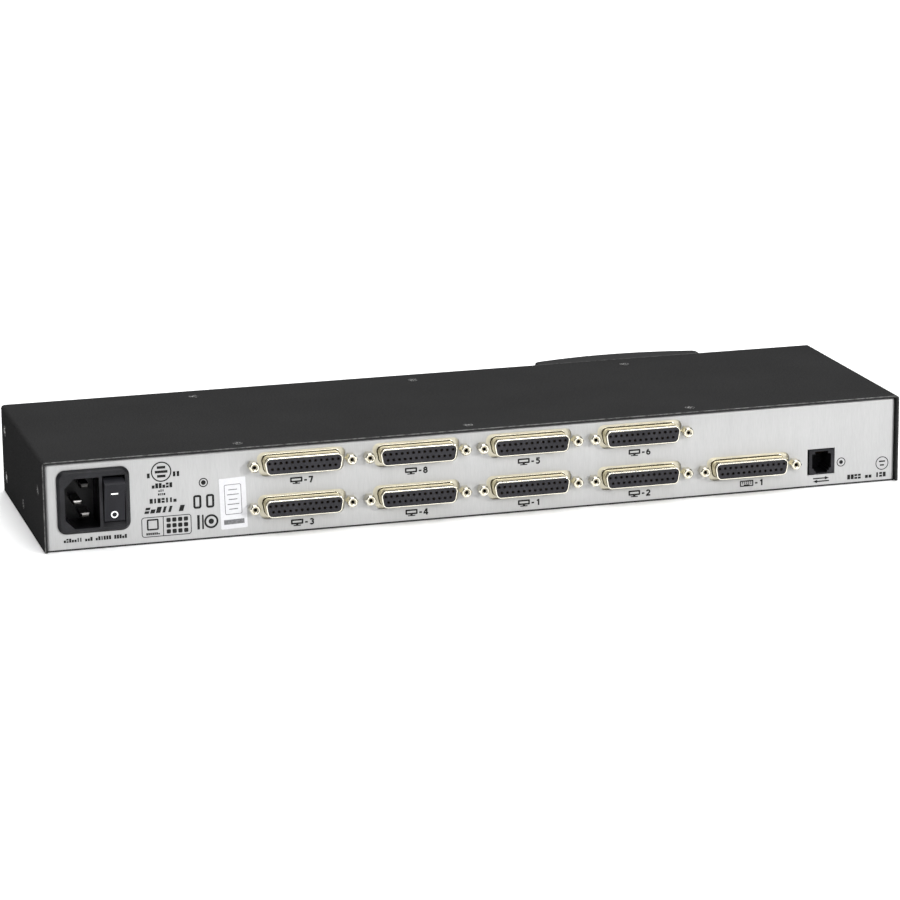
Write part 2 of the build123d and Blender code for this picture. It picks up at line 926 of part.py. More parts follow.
def make_power_rocker():
    """The rocker, with its lower end pressed in: a dished face between two round-backed ends."""
    rest = math.radians(rocker_swing / 2)
    ridge = math.radians(rocker_ridge_angle)
    skirt = math.radians(rocker_skirt_angle)
    ridge_point = (rocker_radius * math.cos(ridge), rocker_radius * math.sin(ridge))
    skirt_point = (rocker_radius * math.cos(skirt), rocker_radius * math.sin(skirt))
    middle = (ridge + skirt) / 2
    end_point = (rocker_radius * math.cos(middle), rocker_radius * math.sin(middle))
    rocker_plane = Plane(
        origin=(rocker_x, pivot_y, rocker_z),
        x_dir=(0, math.cos(rest), -math.sin(rest)),
        z_dir=(1, 0, 0),
    )
    with BuildPart() as rocker:
        with BuildSketch(rocker_plane) as profile:
            with BuildLine():
                ThreePointArc(
                    (ridge_point[0], -ridge_point[1]),
                    (ridge_point[0] - rocker_dish, 0),
                    ridge_point,
                )
                ThreePointArc(ridge_point, end_point, skirt_point)
                Line(skirt_point, (skirt_point[0], -skirt_point[1]))
                ThreePointArc(
                    (skirt_point[0], -skirt_point[1]),
                    (end_point[0], -end_point[1]),
                    (ridge_point[0], -ridge_point[1]),
                )
            make_face()
            fillet(profile.vertices().group_by(Axis.X)[-1], rocker_edge)
        extrude(amount=rocker_width / 2, both=True)
        with BuildSketch(Plane.YZ.offset(rocker_x)):
            with Locations((pivot_y, rocker_z)):
                Circle(trunnion_radius)
        extrude(amount=rocker_width / 2 + trunnion_length, both=True)
    return rocker


jack_face = panel_rear - jack_sink
jack_bottom = main_board_top + clearance / 2
jack_window_bottom = jack_bottom + jack_window_lift
jack_window_top = jack_window_bottom + jack_window_height


def make_serial_jack():
    """The six-way modular jack, its stepped latch slot at the bottom."""
    with BuildPart() as jack:
        with BuildSketch(Plane.XZ.offset(-jack_face)):
            with Locations((jack_x, jack_bottom + jack_height / 2)):
                Rectangle(jack_width, jack_height)
        extrude(amount=jack_depth)
        with BuildSketch(Plane.XZ.offset(-jack_face)):
            with Locations((jack_x, jack_window_bottom + jack_window_height / 2)):
                Rectangle(jack_window_width, jack_window_height)
            with Locations((jack_x, jack_window_top + jack_notch_height / 2)):
                Rectangle(jack_notch_width, jack_notch_height)
            with Locations((jack_x, jack_window_bottom - jack_step_height / 2)):
                Rectangle(jack_step_width, jack_step_height)
            with Locations((jack_x, jack_window_bottom - jack_latch_height / 2)):
                Rectangle(jack_latch_width, jack_latch_height)
        extrude(amount=jack_cavity_depth, mode=Mode.SUBTRACT)
    return jack


def make_serial_jack_contacts():
    """Six sprung wires that run along the roof of the jack's cavity and slope down to their tips."""
    roof = jack_window_top + jack_notch_height - jack_wire_width
    root = jack_face - jack_cavity_depth + clearance
    bend = jack_face - jack_wire_bend
    tip = jack_face - jack_wire_reach
    first = jack_x - (jack_wire_count - 1) * jack_wire_pitch / 2 - jack_wire_width / 2
    with BuildPart() as wires:
        for wire in range(jack_wire_count):
            with BuildSketch(Plane.YZ.offset(first + wire * jack_wire_pitch)):
                with BuildLine():
                    Polyline(
                        (root, roof),
                        (bend, roof),
                        (tip, roof - jack_wire_drop),
                        (tip - jack_wire_gauge, roof - jack_wire_drop + jack_wire_gauge),
                        (bend - 4 * jack_wire_gauge, roof - jack_wire_gauge),
                        (root, roof - jack_wire_gauge),
                        close=True,
                    )
                make_face()
            extrude(amount=jack_wire_width)
    return wires


# ---------------------------------------------------------------------------------------------
# Control pod
# ---------------------------------------------------------------------------------------------

pod_centre_y = case_front - pod_depth + pod_radius
key_offsets = (-key_pitch, 0.0, key_pitch)
led_offsets = [(index - (led_count - 1) / 2) * led_pitch for index in range(led_count)]
led_offsets.append(led_offsets[-1] + power_led_step)


def pod_skin_y(distance):
    """The pod's outer face, at a distance along X from its middle."""
    return pod_centre_y - math.sqrt(pod_radius**2 - distance**2)


def pod_layer(inner_radius, outer_radius):
    """A curved layer that follows the pod's face, as tall as the case."""
    with BuildPart() as layer:
        with BuildSketch():
            with Locations((pod_x, pod_centre_y)):
                Circle(outer_radius)
                Circle(inner_radius, mode=Mode.SUBTRACT)
            with Locations((pod_x, case_front)):
                Rectangle(2 * pod_width, 4 * pod_depth, mode=Mode.INTERSECT)
        extrude(amount=case_height)
    return layer.part


def make_control_pod():
    """The hollow bulging bezel, open behind, with bosses for its screws."""
    back = case_front - pod_gap
    block_depth = 2 * pod_depth
    block_y = back - block_depth / 2
    with BuildPart() as pod:
        with BuildSketch(Plane.XY.offset(pod_bottom)) as plan:
            with Locations((pod_x, block_y)):
                Rectangle(pod_width, block_depth)
            with Locations((pod_x, pod_centre_y)):
                Circle(pod_radius, mode=Mode.INTERSECT)
            fillet(plan.vertices().group_by(Axis.Y)[0], pod_corner)
        extrude(amount=pod_top - pod_bottom)
        rims = pod.faces().sort_by(Axis.Z)[-1].edges().sort_by(Axis.Y)[:-1]
        rims += pod.faces().sort_by(Axis.Z)[0].edges().sort_by(Axis.Y)[:-1]
        fillet(rims, pod_edge)
        with BuildSketch(Plane.XY.offset(pod_bottom + pod_wall)):
            with Locations((pod_x, block_y)):
                Rectangle(pod_width - 2 * pod_wall, block_depth)
            with Locations((pod_x, pod_centre_y)):
                Circle(pod_radius - pod_wall, mode=Mode.INTERSECT)
        extrude(amount=pod_top - pod_bottom - 2 * pod_wall, mode=Mode.SUBTRACT)
        with BuildSketch(Plane.XZ.offset(-back)):
            with Locations(*pod_boss_places):
                Circle(pod_boss_radius)
        extrude(amount=back - pod_skin_y(pod_boss_reach) - pod_wall / 2)
        with BuildSketch(Plane.XZ.offset(-back)):
            with Locations(*pod_boss_places):
                Circle(board_screw_radius + screw_pilot_gap)
        extrude(amount=pod_screw_length - panel_gauge, mode=Mode.SUBTRACT)
        with BuildSketch(Plane.XZ.offset(-front_board_front)):
            with Locations(*[(pod_x + step, key_z) for step in key_offsets]):
                RectangleRounded(key_width + 2 * key_gap, key_height + 2 * key_gap, key_corner + key_gap)
            with Locations(*[(pod_x + step, led_z) for step in led_offsets]):
                Circle(led_radius + led_gap)
        extrude(amount=2 * pod_depth, mode=Mode.SUBTRACT)
    return pod


def make_key(distance):
    """A push key: a cap through the pod's wall, a rim behind it and a stem into its switch."""
    x = pod_x + distance
    rim_front = pod_radius - pod_wall - key_rim_gap
    rim_back = rim_front - key_rim_depth
    switch_front = front_board_front - switch_body_depth
    with BuildPart() as rim:
        with BuildSketch(Plane.XZ.offset(-front_board_front)):
            with Locations((x, key_z)):
                RectangleRounded(key_width + 2 * key_rim, key_height + 2 * key_rim, key_corner + key_rim)
        extrude(amount=2 * pod_depth)
        add(pod_layer(rim_back, rim_front), mode=Mode.INTERSECT)
    with BuildPart() as key:
        with BuildSketch(Plane.XZ.offset(-front_board_front)):
            with Locations((x, key_z)):
                RectangleRounded(key_width, key_height, key_corner)
        extrude(amount=2 * pod_depth)
        add(pod_layer(rim_back, pod_radius + key_stand), mode=Mode.INTERSECT)
        fillet(key.faces().sort_by(Axis.Y)[0].edges(), key_edge)
        add(rim.part)
        with BuildSketch(Plane.XZ.offset(-(switch_front + key_stem_entry))):
            with Locations((x, key_z)):
                Circle(key_stem_radius)
        extrude(until=Until.NEXT)
    return key


def make_key_switches():
    """The square switch bodies on the front board, each with a well for a key's stem."""
    places = [(pod_x + step, key_z) for step in key_offsets]
    with BuildPart() as switches:
        with BuildSketch(Plane.XZ.offset(-front_board_front)):
            with Locations(*places):
                Rectangle(switch_body, switch_body)
        extrude(amount=switch_body_depth)
        with BuildSketch(Plane.XZ.offset(-(front_board_front - switch_body_depth))):
            with Locations(*places):
                Circle(switch_well_radius)
        extrude(amount=-switch_well_depth, mode=Mode.SUBTRACT)
    return switches


def indicator_led(distance):
    """A round-nosed lamp from the front board out through the pod's face."""
    place = (pod_x + distance, led_z)
    nose = pod_skin_y(distance) - led_stand
    with BuildPart() as led:
        with BuildSketch(Plane.XZ.offset(-front_board_front)):
            with Locations(place):
                Circle(led_radius)
        extrude(amount=front_board_front - nose)
        fillet(led.faces().sort_by(Axis.Y)[0].edges(), led_dome)
        with BuildSketch(Plane.XZ.offset(-front_board_front)):
            with Locations(place):
                Circle(led_flange_radius)
        extrude(amount=led_flange_depth)
    return led.part


def make_indicator_leds():
    """The row of channel lamps with the power lamp at its end."""
    lamps = [indicator_led(distance) for distance in led_offsets]
    with BuildPart() as leds:
        for lamp in lamps:
            add(lamp)
    return leds


# ---------------------------------------------------------------------------------------------
# Circuit boards
# ---------------------------------------------------------------------------------------------


def board_outline(left, right, front, rear):
    """A board's rounded rectangle, for use inside a sketch."""
    with Locations(((left + right) / 2, (front + rear) / 2)):
        RectangleRounded(right - left, rear - front, board_corner)


def tail_holes(places):
    """The drilled holes for the contacts' tails, for use inside a sketch."""
    for x, z in places:
        with Locations((x, upper_tail_y)):
            with GridLocations(contact_pitch, 1, high_row_count, 1):
                Circle(tail_hole_radius, mode=Mode.SUBTRACT)
        with Locations((x, lower_tail_y)):
            with GridLocations(contact_pitch, 1, low_row_count, 1):
                Circle(tail_hole_radius, mode=Mode.SUBTRACT)


def make_main_board():
    """The long lower board, which carries the lower sockets and the serial jack."""
    with BuildPart() as board:
        with BuildSketch(Plane.XY.offset(main_board_bottom)):
            board_outline(main_board_left, main_board_right, main_board_front, board_rear)
            with Locations(*[(x, y) for x in main_hole_x for y in main_hole_y]):
                Circle(board_hole_radius, mode=Mode.SUBTRACT)
            tail_holes(lower_places)
        extrude(amount=board_gauge)
    return board


def make_port_board():
    """The upper board, which carries the upper sockets."""
    with BuildPart() as board:
        with BuildSketch(Plane.XY.offset(port_board_bottom)):
            board_outline(port_board_left, port_board_right, port_board_front, board_rear)
            with Locations(*spacer_places):
                Circle(board_hole_radius, mode=Mode.SUBTRACT)
            tail_holes(upper_places)
        extrude(amount=board_gauge)
    return board


def make_power_board():
    """The power supply's board, in front of the inlet."""
    with BuildPart() as board:
        with BuildSketch(Plane.XY.offset(main_board_bottom)):
            board_outline(power_board_left, power_board_right, power_board_front, power_board_rear)
            with Locations(*[(x, y) for x in power_hole_x for y in power_hole_y]):
                Circle(board_hole_radius, mode=Mode.SUBTRACT)
        extrude(amount=board_gauge)
    return board


def make_front_board():
    """The upright board in the pod, located on the pod's bosses."""
    with BuildPart() as board:
        with BuildSketch(Plane.XZ.offset(-front_board_back)):
            with Locations((pod_x, front_board_z)):
                RectangleRounded(front_board_width, front_board_height, board_corner)
            with Locations(*pod_boss_places):
                Circle(pod_boss_radius + clearance, mode=Mode.SUBTRACT)
        extrude(amount=board_gauge)
    return board


def make_chips(places, size, height):
    """Square chips with a bevelled top, standing just above the main board."""
    with BuildPart() as chips:
        with BuildSketch(Plane.XY.offset(main_board_top + chip_lift)):
            with Locations(*places):
                Rectangle(size, size)
        extrude(amount=height)
        tops = [edge for face in chips.faces().group_by(Axis.Z)[-1] for edge in face.edges()]
        chamfer(tops, chip_lift)
        with BuildSketch(Plane.XY.offset(main_board_top)):
            with Locations(*places):
                Rectangle(size - 2 * board_gauge, size - 2 * board_gauge)
        extrude(amount=chip_lift)
    return chips


def make_board_headers():
    """The tall connectors between the main board and the port board."""
    with BuildPart() as headers:
        with BuildSketch(Plane.XY.offset(main_board_top)):
            with Locations((-header_spread, header_y), (header_spread, header_y)):
                Rectangle(header_length, header_width)
        extrude(amount=port_board_bottom - main_board_top)
    return headers


# ---------------------------------------------------------------------------------------------
# Power supply
# ---------------------------------------------------------------------------------------------


def make_transformer_core():
    """An E-shaped iron core with two windows for the winding."""
    window_length = (core_length - 2 * core_leg - core_limb) / 2
    window_step = (core_limb + window_length) / 2
    with BuildPart() as core:
        with BuildSketch(Plane.XZ.offset(-(coil_y + core_width / 2))):
            with Locations((coil_x, main_board_top + core_height / 2)):
                Rectangle(core_length, core_height)
                with Locations((-window_step, 0), (window_step, 0)):
                    Rectangle(window_length, core_height - 2 * core_leg, mode=Mode.SUBTRACT)
        extrude(amount=core_width)
    return core


def make_transformer_coil():
    """The winding round the core's middle limb, bulging out at both ends."""
    window_length = (core_length - 2 * core_leg - core_limb) / 2
    coil_length = core_limb + 2 * window_length - 2 * coil_gap
    coil_height = core_height - 2 * core_leg - 2 * coil_gap
    with BuildPart() as coil:
        with BuildSketch(Plane.XY.offset(main_board_top + core_leg + coil_gap)):
            with Locations((coil_x, coil_y)):
                RectangleRounded(coil_length, core_width + 2 * window_length, board_corner)
                Rectangle(core_limb + 2 * coil_gap, core_width + 2 * coil_gap, mode=Mode.SUBTRACT)
        extrude(amount=coil_height)
    return coil


def make_bulk_capacitor():
    """A can standing on the power board, with a crimped groove near its foot."""
    with BuildPart() as can:
        with BuildSketch(Plane.XY.offset(main_board_top)):
            with Locations((capacitor_x, capacitor_y)):
                Circle(capacitor_radius)
        extrude(amount=capacitor_height)
        fillet(can.faces().sort_by(Axis.Z)[-1].edges(), board_corner)
        with BuildSketch(Plane.XY.offset(main_board_top + 2 * board_corner)):
            with Locations((capacitor_x, capacitor_y)):
                Circle(capacitor_radius + board_corner)
                Circle(capacitor_radius - board_corner / 3, mode=Mode.SUBTRACT)
        extrude(amount=board_corner, mode=Mode.SUBTRACT)
    return can


def make_heat_sink():
    """An upright plate with fins along one side."""
    fin_step = (sink_length - sink_fin) / (sink_fin_count - 1)
    fin_x = sink_x + (sink_base + sink_fin_reach) / 2
    with BuildPart() as sink:
        with BuildSketch(Plane.XY.offset(main_board_top)):
            with Locations((sink_x, sink_y)):
                Rectangle(sink_base, sink_length)
            with Locations((fin_x, sink_y)):
                with GridLocations(1, fin_step, 1, sink_fin_count):
                    Rectangle(sink_fin_reach, sink_fin)
        extrude(amount=sink_height)
    return sink


def make_mains_fuse():
    """A tubular fuse lying on the power board, with its two end caps a little thicker."""
    centre_z = main_board_top + fuse_radius
    with BuildPart() as fuse:
        with BuildSketch(Plane.YZ.offset(fuse_x - fuse_length / 2)):
            with Locations((fuse_y, centre_z)):
                Circle(fuse_radius - clearance)
        extrude(amount=fuse_length)
        for start in (fuse_x - fuse_length / 2, fuse_x + fuse_length / 2 - fuse_cap_length):
            with BuildSketch(Plane.YZ.offset(start)):
                with Locations((fuse_y, centre_z)):
                    Circle(fuse_radius)
            extrude(amount=fuse_cap_length)
    return fuse


def make_input_choke():
    """A ring core standing on edge behind the capacitor."""
    with BuildPart() as choke:
        with BuildSketch(Plane.XZ.offset(-choke_y)):
            with Locations((choke_x, main_board_top + choke_radius)):
                Circle(choke_radius)
                Circle(choke_bore, mode=Mode.SUBTRACT)
        extrude(amount=choke_width)
        fillet(choke.edges().filter_by(GeomType.CIRCLE), board_corner)
    return choke


# ---------------------------------------------------------------------------------------------
# Wires inside the case
# ---------------------------------------------------------------------------------------------


def lead(points):
    """A round wire along straight runs joined by arcs."""
    with BuildPart() as wire:
        with BuildLine() as route:
            FilletPolyline(*points, radius=lead_bend)
        with BuildSketch(Plane(origin=route.line @ 0, z_dir=route.line % 0)):
            Circle(lead_radius)
        sweep()
    return wire.part


def make_mains_leads():
    """Two leads from the switch and one from the earth pin, down to the power board."""
    tab_end = inlet_back - blade_tail - clearance
    foot = main_board_top + clearance
    with BuildPart() as leads:
        for step, place in enumerate([switch_tab_places[0], switch_tab_places[1], earth_place]):
            x, z = place
            turn_y = tab_end - (2 + step % 2) * lead_pitch
            add(lead([(x, tab_end, z), (x, turn_y, z), (x, turn_y, foot)]))
    return leads


def make_dc_leads():
    """Four leads that arch from the power board to the main board."""
    foot = main_board_top + clearance
    top = foot + 3 * lead_bend
    start_x = power_board_left + lead_pitch
    end_x = main_board_right - lead_pitch
    with BuildPart() as leads:
        for index in range(dc_lead_count):
            y = (index - dc_lead_count / 2) * lead_pitch
            add(lead([(start_x, y, foot), (start_x, y, top), (end_x, y, top), (end_x, y, foot)]))
    return leads


def make_front_ribbon():
    """The flat cable from the main board, through the front panel's window, to the front board."""
    foot = main_board_top + clearance
    foot_y = main_board_front + lead_pitch
    with BuildPart() as ribbon:
        with BuildSketch(Plane.YZ.offset(pod_x - ribbon_width / 2)):
            with BuildLine() as route:
                FilletPolyline(
                    (foot_y, foot),
                    (foot_y, front_board_z),
                    (front_board_back + clearance, front_board_z),
                    radius=lead_bend,
                )
            trace(line_width=ribbon_gauge)
        extrude(amount=ribbon_width)
    return ribbon


# ---------------------------------------------------------------------------------------------
# Every piece, made and written
# ---------------------------------------------------------------------------------------------

finish(make_top_cover(), "top_cover")
finish(make_base_pan(), "base_pan")
finish(make_rear_panel(), "rear_panel")
finish(make_front_panel(), "front_panel")
finish(make_cover_screws(), "cover_screws")
finish(make_rack_inserts(), "rack_inserts")
finish(make_jack_posts(), "jack_posts")
finish(make_board_screws(), "board_screws")
finish(make_pod_screws(), "pod_screws")
finish(make_pan_standoffs(), "pan_standoffs")
finish(make_board_spacers(), "board_spacers")

for port, column in upper_ports.items():
    finish(make_port_shell(port_column(column), upper_row), f"port_{port}_shell")
    finish(make_port_insulator(port_column(column), upper_row), f"port_{port}_insulator")
for port, column in lower_ports.items():
    finish(make_port_shell(port_column(column), lower_row), f"port_{port}_shell")
    finish(make_port_insulator(port_column(column), lower_row), f"port_{port}_insulator")
finish(make_port_shell(port_column(console_column), lower_row), "console_shell")
finish(make_port_insulator(port_column(console_column), lower_row), "console_insulator")
finish(make_row_contacts(upper_places, port_board_bottom), "upper_contacts")
finish(make_row_contacts(lower_places, main_board_bottom), "lower_contacts")

finish(make_inlet_housing(), "inlet_housing")
finish(make_blades(blade_places, blade_sink, 0), "inlet_blades")
finish(make_blades([earth_place], earth_sink, blade_tail), "inlet_earth_blade")
finish(make_switch_tabs(), "switch_tabs")
finish(make_power_rocker(), "power_rocker")
finish(make_serial_jack(), "serial_jack")
finish(make_serial_jack_contacts(), "serial_jack_contacts")

finish(make_control_pod(), "control_pod")
finish(make_key(key_offsets[0]), "key_previous")
finish(make_key(key_offsets[1]), "key_scan")
finish(make_key(key_offsets[2]), "key_next")
finish(make_key_switches(), "key_switches")
finish(make_indicator_leds(), "indicator_leds")

finish(make_main_board(), "main_board")
finish(make_port_board(), "port_board")
finish(make_power_board(), "power_board")
finish(make_front_board(), "front_board")
finish(make_chips(chip_places, chip_size, chip_height), "switching_chips")
finish(make_chips([(processor_x, processor_y)], processor_size, processor_height), "processor_chip")
finish(make_board_headers(), "board_headers")

finish(make_transformer_core(), "transformer_core")
finish(make_transformer_coil(), "transformer_coil")
finish(make_bulk_capacitor(), "bulk_capacitor")
finish(make_heat_sink(), "heat_sink")
finish(make_mains_fuse(), "mains_fuse")
finish(make_input_choke(), "input_choke")
finish(make_mains_leads(), "mains_leads")
finish(make_dc_leads(), "dc_leads")
finish(make_front_ribbon(), "front_ribbon")
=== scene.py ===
import json
import math
import random

import bmesh
import bpy
from mathutils import Matrix, Vector


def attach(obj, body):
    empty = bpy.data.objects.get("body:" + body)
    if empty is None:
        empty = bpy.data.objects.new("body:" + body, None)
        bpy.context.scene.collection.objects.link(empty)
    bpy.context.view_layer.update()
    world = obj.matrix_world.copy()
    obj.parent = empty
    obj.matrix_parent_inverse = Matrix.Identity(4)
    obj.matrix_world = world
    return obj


# A 1U rack-mount switch box: black folded cover, grey rear panel with nine 25-way sockets, a
# switched mains inlet and a modular jack, and a control pod on the front.  Metres, +Z up, the
# rear panel faces +Y.

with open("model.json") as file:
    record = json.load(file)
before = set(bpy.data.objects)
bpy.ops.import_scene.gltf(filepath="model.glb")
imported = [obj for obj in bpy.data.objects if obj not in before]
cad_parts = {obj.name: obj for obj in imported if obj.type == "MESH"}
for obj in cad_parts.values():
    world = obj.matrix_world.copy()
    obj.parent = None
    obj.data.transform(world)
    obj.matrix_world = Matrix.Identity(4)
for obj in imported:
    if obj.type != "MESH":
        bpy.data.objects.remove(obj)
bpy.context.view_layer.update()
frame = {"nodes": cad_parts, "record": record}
nodes = frame["nodes"]

MM = 0.001

# ---------------------------------------------------------------------------------------------
# Places, in millimetres in the frame
# ---------------------------------------------------------------------------------------------

# The case, and how far in from the cover's front and rear rims the paint carries a painted highlight
# along them
CASE_WIDTH = 424.4
CASE_HEIGHT = 43.4
CASE_DEPTH = 119.0
CASE_MIDDLE_Y = 5.55
CASE_FRONT_Y = -53.95
RIM_HIGHLIGHT_WIDTH = 0.4
RIM_HIGHLIGHT_COLOUR = (0.13, 0.13, 0.128)

# The rear panel, and what stands on it or sinks into it
PANEL_Y = 63.05
PANEL_GAUGE = 1.2
FLANGE_FACE = PANEL_Y - PANEL_GAUGE
FLANGE_SKIN = 0.02
PORT_REACH = 6.0
POST_LENGTH = 5.0
# Depths in a post's bore where its painted shade begins and where it is full
THREAD_SHADE_START, THREAD_SHADE_FULL = 0.5, 1.3
INLET_RIM = 2.0
INLET_SHADE_DEPTH = 1.35
JACK_SHADE_DEPTH = 1.2

# The fuse's middle, and how far from it the end caps begin
FUSE_X = 150.0
FUSE_CAP_START = 4.9

# The sockets' columns from +X to -X, and which socket is in which column
FIRST_PORT_X = 89.4
PORT_PITCH = 55.88
PORT_COLUMNS = [FIRST_PORT_X - PORT_PITCH * step for step in range(5)]
UPPER_PORTS = {"7": 0, "8": 1, "5": 2, "6": 3}
LOWER_PORTS = {"3": 0, "4": 1, "1": 2, "2": 3}

# Printing, with each label's middle given as Z or as (X, Z)
UPPER_LABEL_Z = 24.85
LOWER_LABEL_Z = 4.35
SCREEN_SIGN_HALF = 3.0
KEYBOARD_SIGN_HALF = 3.5
CONSOLE_LABEL = (-136.1, 4.7)
JACK_LABEL = (-172.4, 3.4)
DIGIT_HEIGHT = 3.1
LAMP_DIGIT_HEIGHT = 1.9
INK_THICKNESS = 0.03

# The rocker, with its pivot given as (Y, Z)
ROCKER_X = 179.1
ROCKER_PIVOT = (62.25, 23.0)
ROCKER_REST = math.radians(10.25)
ROCKER_RADIUS = 10.3
ROCKER_RIDGE = math.radians(63.95)
ROCKER_DISH = 0.6

# The control pod, its keys and its row of lamps
POD_X = -108.0
POD_DEPTH = 14.2
POD_RADIUS = 160.0
POD_CENTRE_Y = CASE_FRONT_Y - POD_DEPTH + POD_RADIUS
KEY_Z = 14.0
KEY_STEP = 22.0
KEY_STAND = 0.9
LED_Z = 29.0
LED_PITCH = 6.6
LED_COUNT = 8
POWER_LED_STEP = 8.5
LAMP_ROW_MARGIN = 1.0
LAMP_LABEL_DROP = 3.9
LAMP_FRAME_SHIFT, LAMP_FRAME_DROP = 3.6, 1.9

# ---------------------------------------------------------------------------------------------
# Materials
# ---------------------------------------------------------------------------------------------


class Shade:
    """One procedural material: a Principled shader and the nodes that feed it."""

    def __init__(self, name, colour, roughness, metallic=0.0, **constants):
        self.material = bpy.data.materials.new(name)
        self.material.use_nodes = True
        self.tree = self.material.node_tree
        self.shader = self.tree.nodes["Principled BSDF"]
        self.shader.inputs["Base Color"].default_value = (*colour, 1.0)
        self.shader.inputs["Roughness"].default_value = roughness
        self.shader.inputs["Metallic"].default_value = metallic
        for key, value in constants.items():
            self.shader.inputs[key.replace("_", " ")].default_value = value
        self.coordinates = self.tree.nodes.new("ShaderNodeTexCoord")
        self.normal = None

    def node(self, kind, **settings):
        made = self.tree.nodes.new(kind)
        for key, value in settings.items():
            setattr(made, key, value)
        return made

    def link(self, source, target):
        self.tree.links.new(source, target)

    def stretched(self, x=1.0, y=1.0, z=1.0):
        """Object coordinates, scaled along each axis."""
        mapping = self.node("ShaderNodeMapping")
        mapping.inputs["Scale"].default_value = (x, y, z)
        self.link(self.coordinates.outputs["Object"], mapping.inputs["Vector"])
        return mapping.outputs["Vector"]

    def noise(self, scale, detail=3.0, roughness=0.5, vector=None, distortion=0.0):
        """A noise value from 0 to 1, at a scale in cells per metre."""
        made = self.node("ShaderNodeTexNoise")
        made.inputs["Scale"].default_value = scale
        made.inputs["Detail"].default_value = detail
        made.inputs["Roughness"].default_value = roughness
        made.inputs["Distortion"].default_value = distortion
        self.link(vector or self.coordinates.outputs["Object"], made.inputs["Vector"])
        return made.outputs["Fac"]

    def cells(self, scale, vector=None):
        """The distance to the nearest point of a random scatter."""
        made = self.node("ShaderNodeTexVoronoi")
        made.inputs["Scale"].default_value = scale
        self.link(vector or self.coordinates.outputs["Object"], made.inputs["Vector"])
        return made.outputs["Distance"]

    def remap(self, value, low, high, to_low, to_high):
        made = self.node("ShaderNodeMapRange")
        made.inputs["From Min"].default_value = low
        made.inputs["From Max"].default_value = high
        made.inputs["To Min"].default_value = to_low
        made.inputs["To Max"].default_value = to_high
        self.link(value, made.inputs["Value"])
        return made.outputs["Result"]

    def maths(self, operation, first, second):
        made = self.node("ShaderNodeMath", operation=operation)
        for index, term in enumerate((first, second)):
            if isinstance(term, (int, float)):
                made.inputs[index].default_value = term
            else:
                self.link(term, made.inputs[index])
        return made.outputs["Value"]

    def ramp(self, value, *stops):
        """A colour ramp with (position, colour) stops."""
        made = self.node("ShaderNodeValToRGB")
        elements = made.color_ramp.elements
        elements[0].position, elements[1].position = stops[0][0], stops[-1][0]
        elements[0].color = (*stops[0][1], 1.0)
        elements[1].color = (*stops[-1][1], 1.0)
        for position, colour in stops[1:-1]:
            elements.new(position).color = (*colour, 1.0)
        self.link(value, made.inputs["Fac"])
        return made.outputs["Color"]

    def along(self, axis):
        """The position along X, Y or Z, in metres."""
        made = self.node("ShaderNodeSeparateXYZ")
        self.link(self.coordinates.outputs["Object"], made.inputs["Vector"])
        return made.outputs[axis]

    def tint(self, value, low, high, dark, light):
        """Base colour that runs from dark to light as a value runs from low to high."""
        self.link(
            self.ramp(self.remap(value, low, high, 0.0, 1.0), (0.0, dark), (1.0, light)),
            self.shader.inputs["Base Color"],
        )
        return self

    def gloss(self, value, low, high, smooth, rough):
        """Roughness that runs from smooth to rough as a value runs from low to high."""
        self.link(self.remap(value, low, high, smooth, rough), self.shader.inputs["Roughness"])
        return self

    def bump(self, value, distance, strength=1.0):
        made = self.node("ShaderNodeBump")
        made.inputs["Distance"].default_value = distance
        made.inputs["Strength"].default_value = strength
        self.link(value, made.inputs["Height"])
        if self.normal is not None:
            self.link(self.normal, made.inputs["Normal"])
        self.normal = made.outputs["Normal"]
        self.link(self.normal, self.shader.inputs["Normal"])
        return self


def powder_coat(name, dark, light, grain, roughness, highlighted_rims=False):
    """Black textured paint: a fine pebbled grain, with a painted highlight along a folded cover's
    rims.
    """
    paint = Shade(name, light, roughness, Specular_IOR_Level=0.0)
    pebbles = paint.noise(grain, detail=2.0, roughness=0.6)
    patches = paint.noise(26.0, detail=3.0, roughness=0.5)
    tone = paint.maths("ADD", pebbles, paint.maths("MULTIPLY", patches, 0.2))
    paint.tint(tone, 0.35, 0.85, dark, light)
    paint.gloss(pebbles, 0.3, 0.7, roughness - 0.05, roughness + 0.06)
    paint.bump(pebbles, 0.00012, 0.5)
    if highlighted_rims:
        # Painted highlight: the paint is lighter along the cover's top rims, where the edges catch
        # the light, broken up by noise.
        from_middle = paint.maths("SUBTRACT", paint.along("Y"), CASE_MIDDLE_Y * MM)
        rim = paint.maths("ABSOLUTE", from_middle, 0.0)
        rim = paint.maths("GREATER_THAN", rim, (CASE_DEPTH / 2 - RIM_HIGHLIGHT_WIDTH) * MM)
        side = paint.maths("ABSOLUTE", paint.along("X"), 0.0)
        side = paint.maths("GREATER_THAN", side, (CASE_WIDTH / 2 - RIM_HIGHLIGHT_WIDTH) * MM)
        high = paint.maths("GREATER_THAN", paint.along("Z"), (CASE_HEIGHT - RIM_HIGHLIGHT_WIDTH) * MM)
        highlight_breaks = paint.remap(paint.noise(420.0, detail=4.0, roughness=0.7), 0.34, 0.6, 0.0, 1.0)
        edge = paint.maths("MULTIPLY", rim, paint.maths("MAXIMUM", side, high))
        rim_highlight = paint.maths("MULTIPLY", edge, highlight_breaks)
        mix = paint.node("ShaderNodeMix", data_type="RGBA")
        painted = paint.shader.inputs["Base Color"].links[0].from_socket
        paint.link(rim_highlight, mix.inputs["Factor"])
        paint.link(painted, mix.inputs["A"])
        mix.inputs["B"].default_value = (*RIM_HIGHLIGHT_COLOUR, 1.0)
        paint.link(mix.outputs["Result"], paint.shader.inputs["Base Color"])
    return paint.material


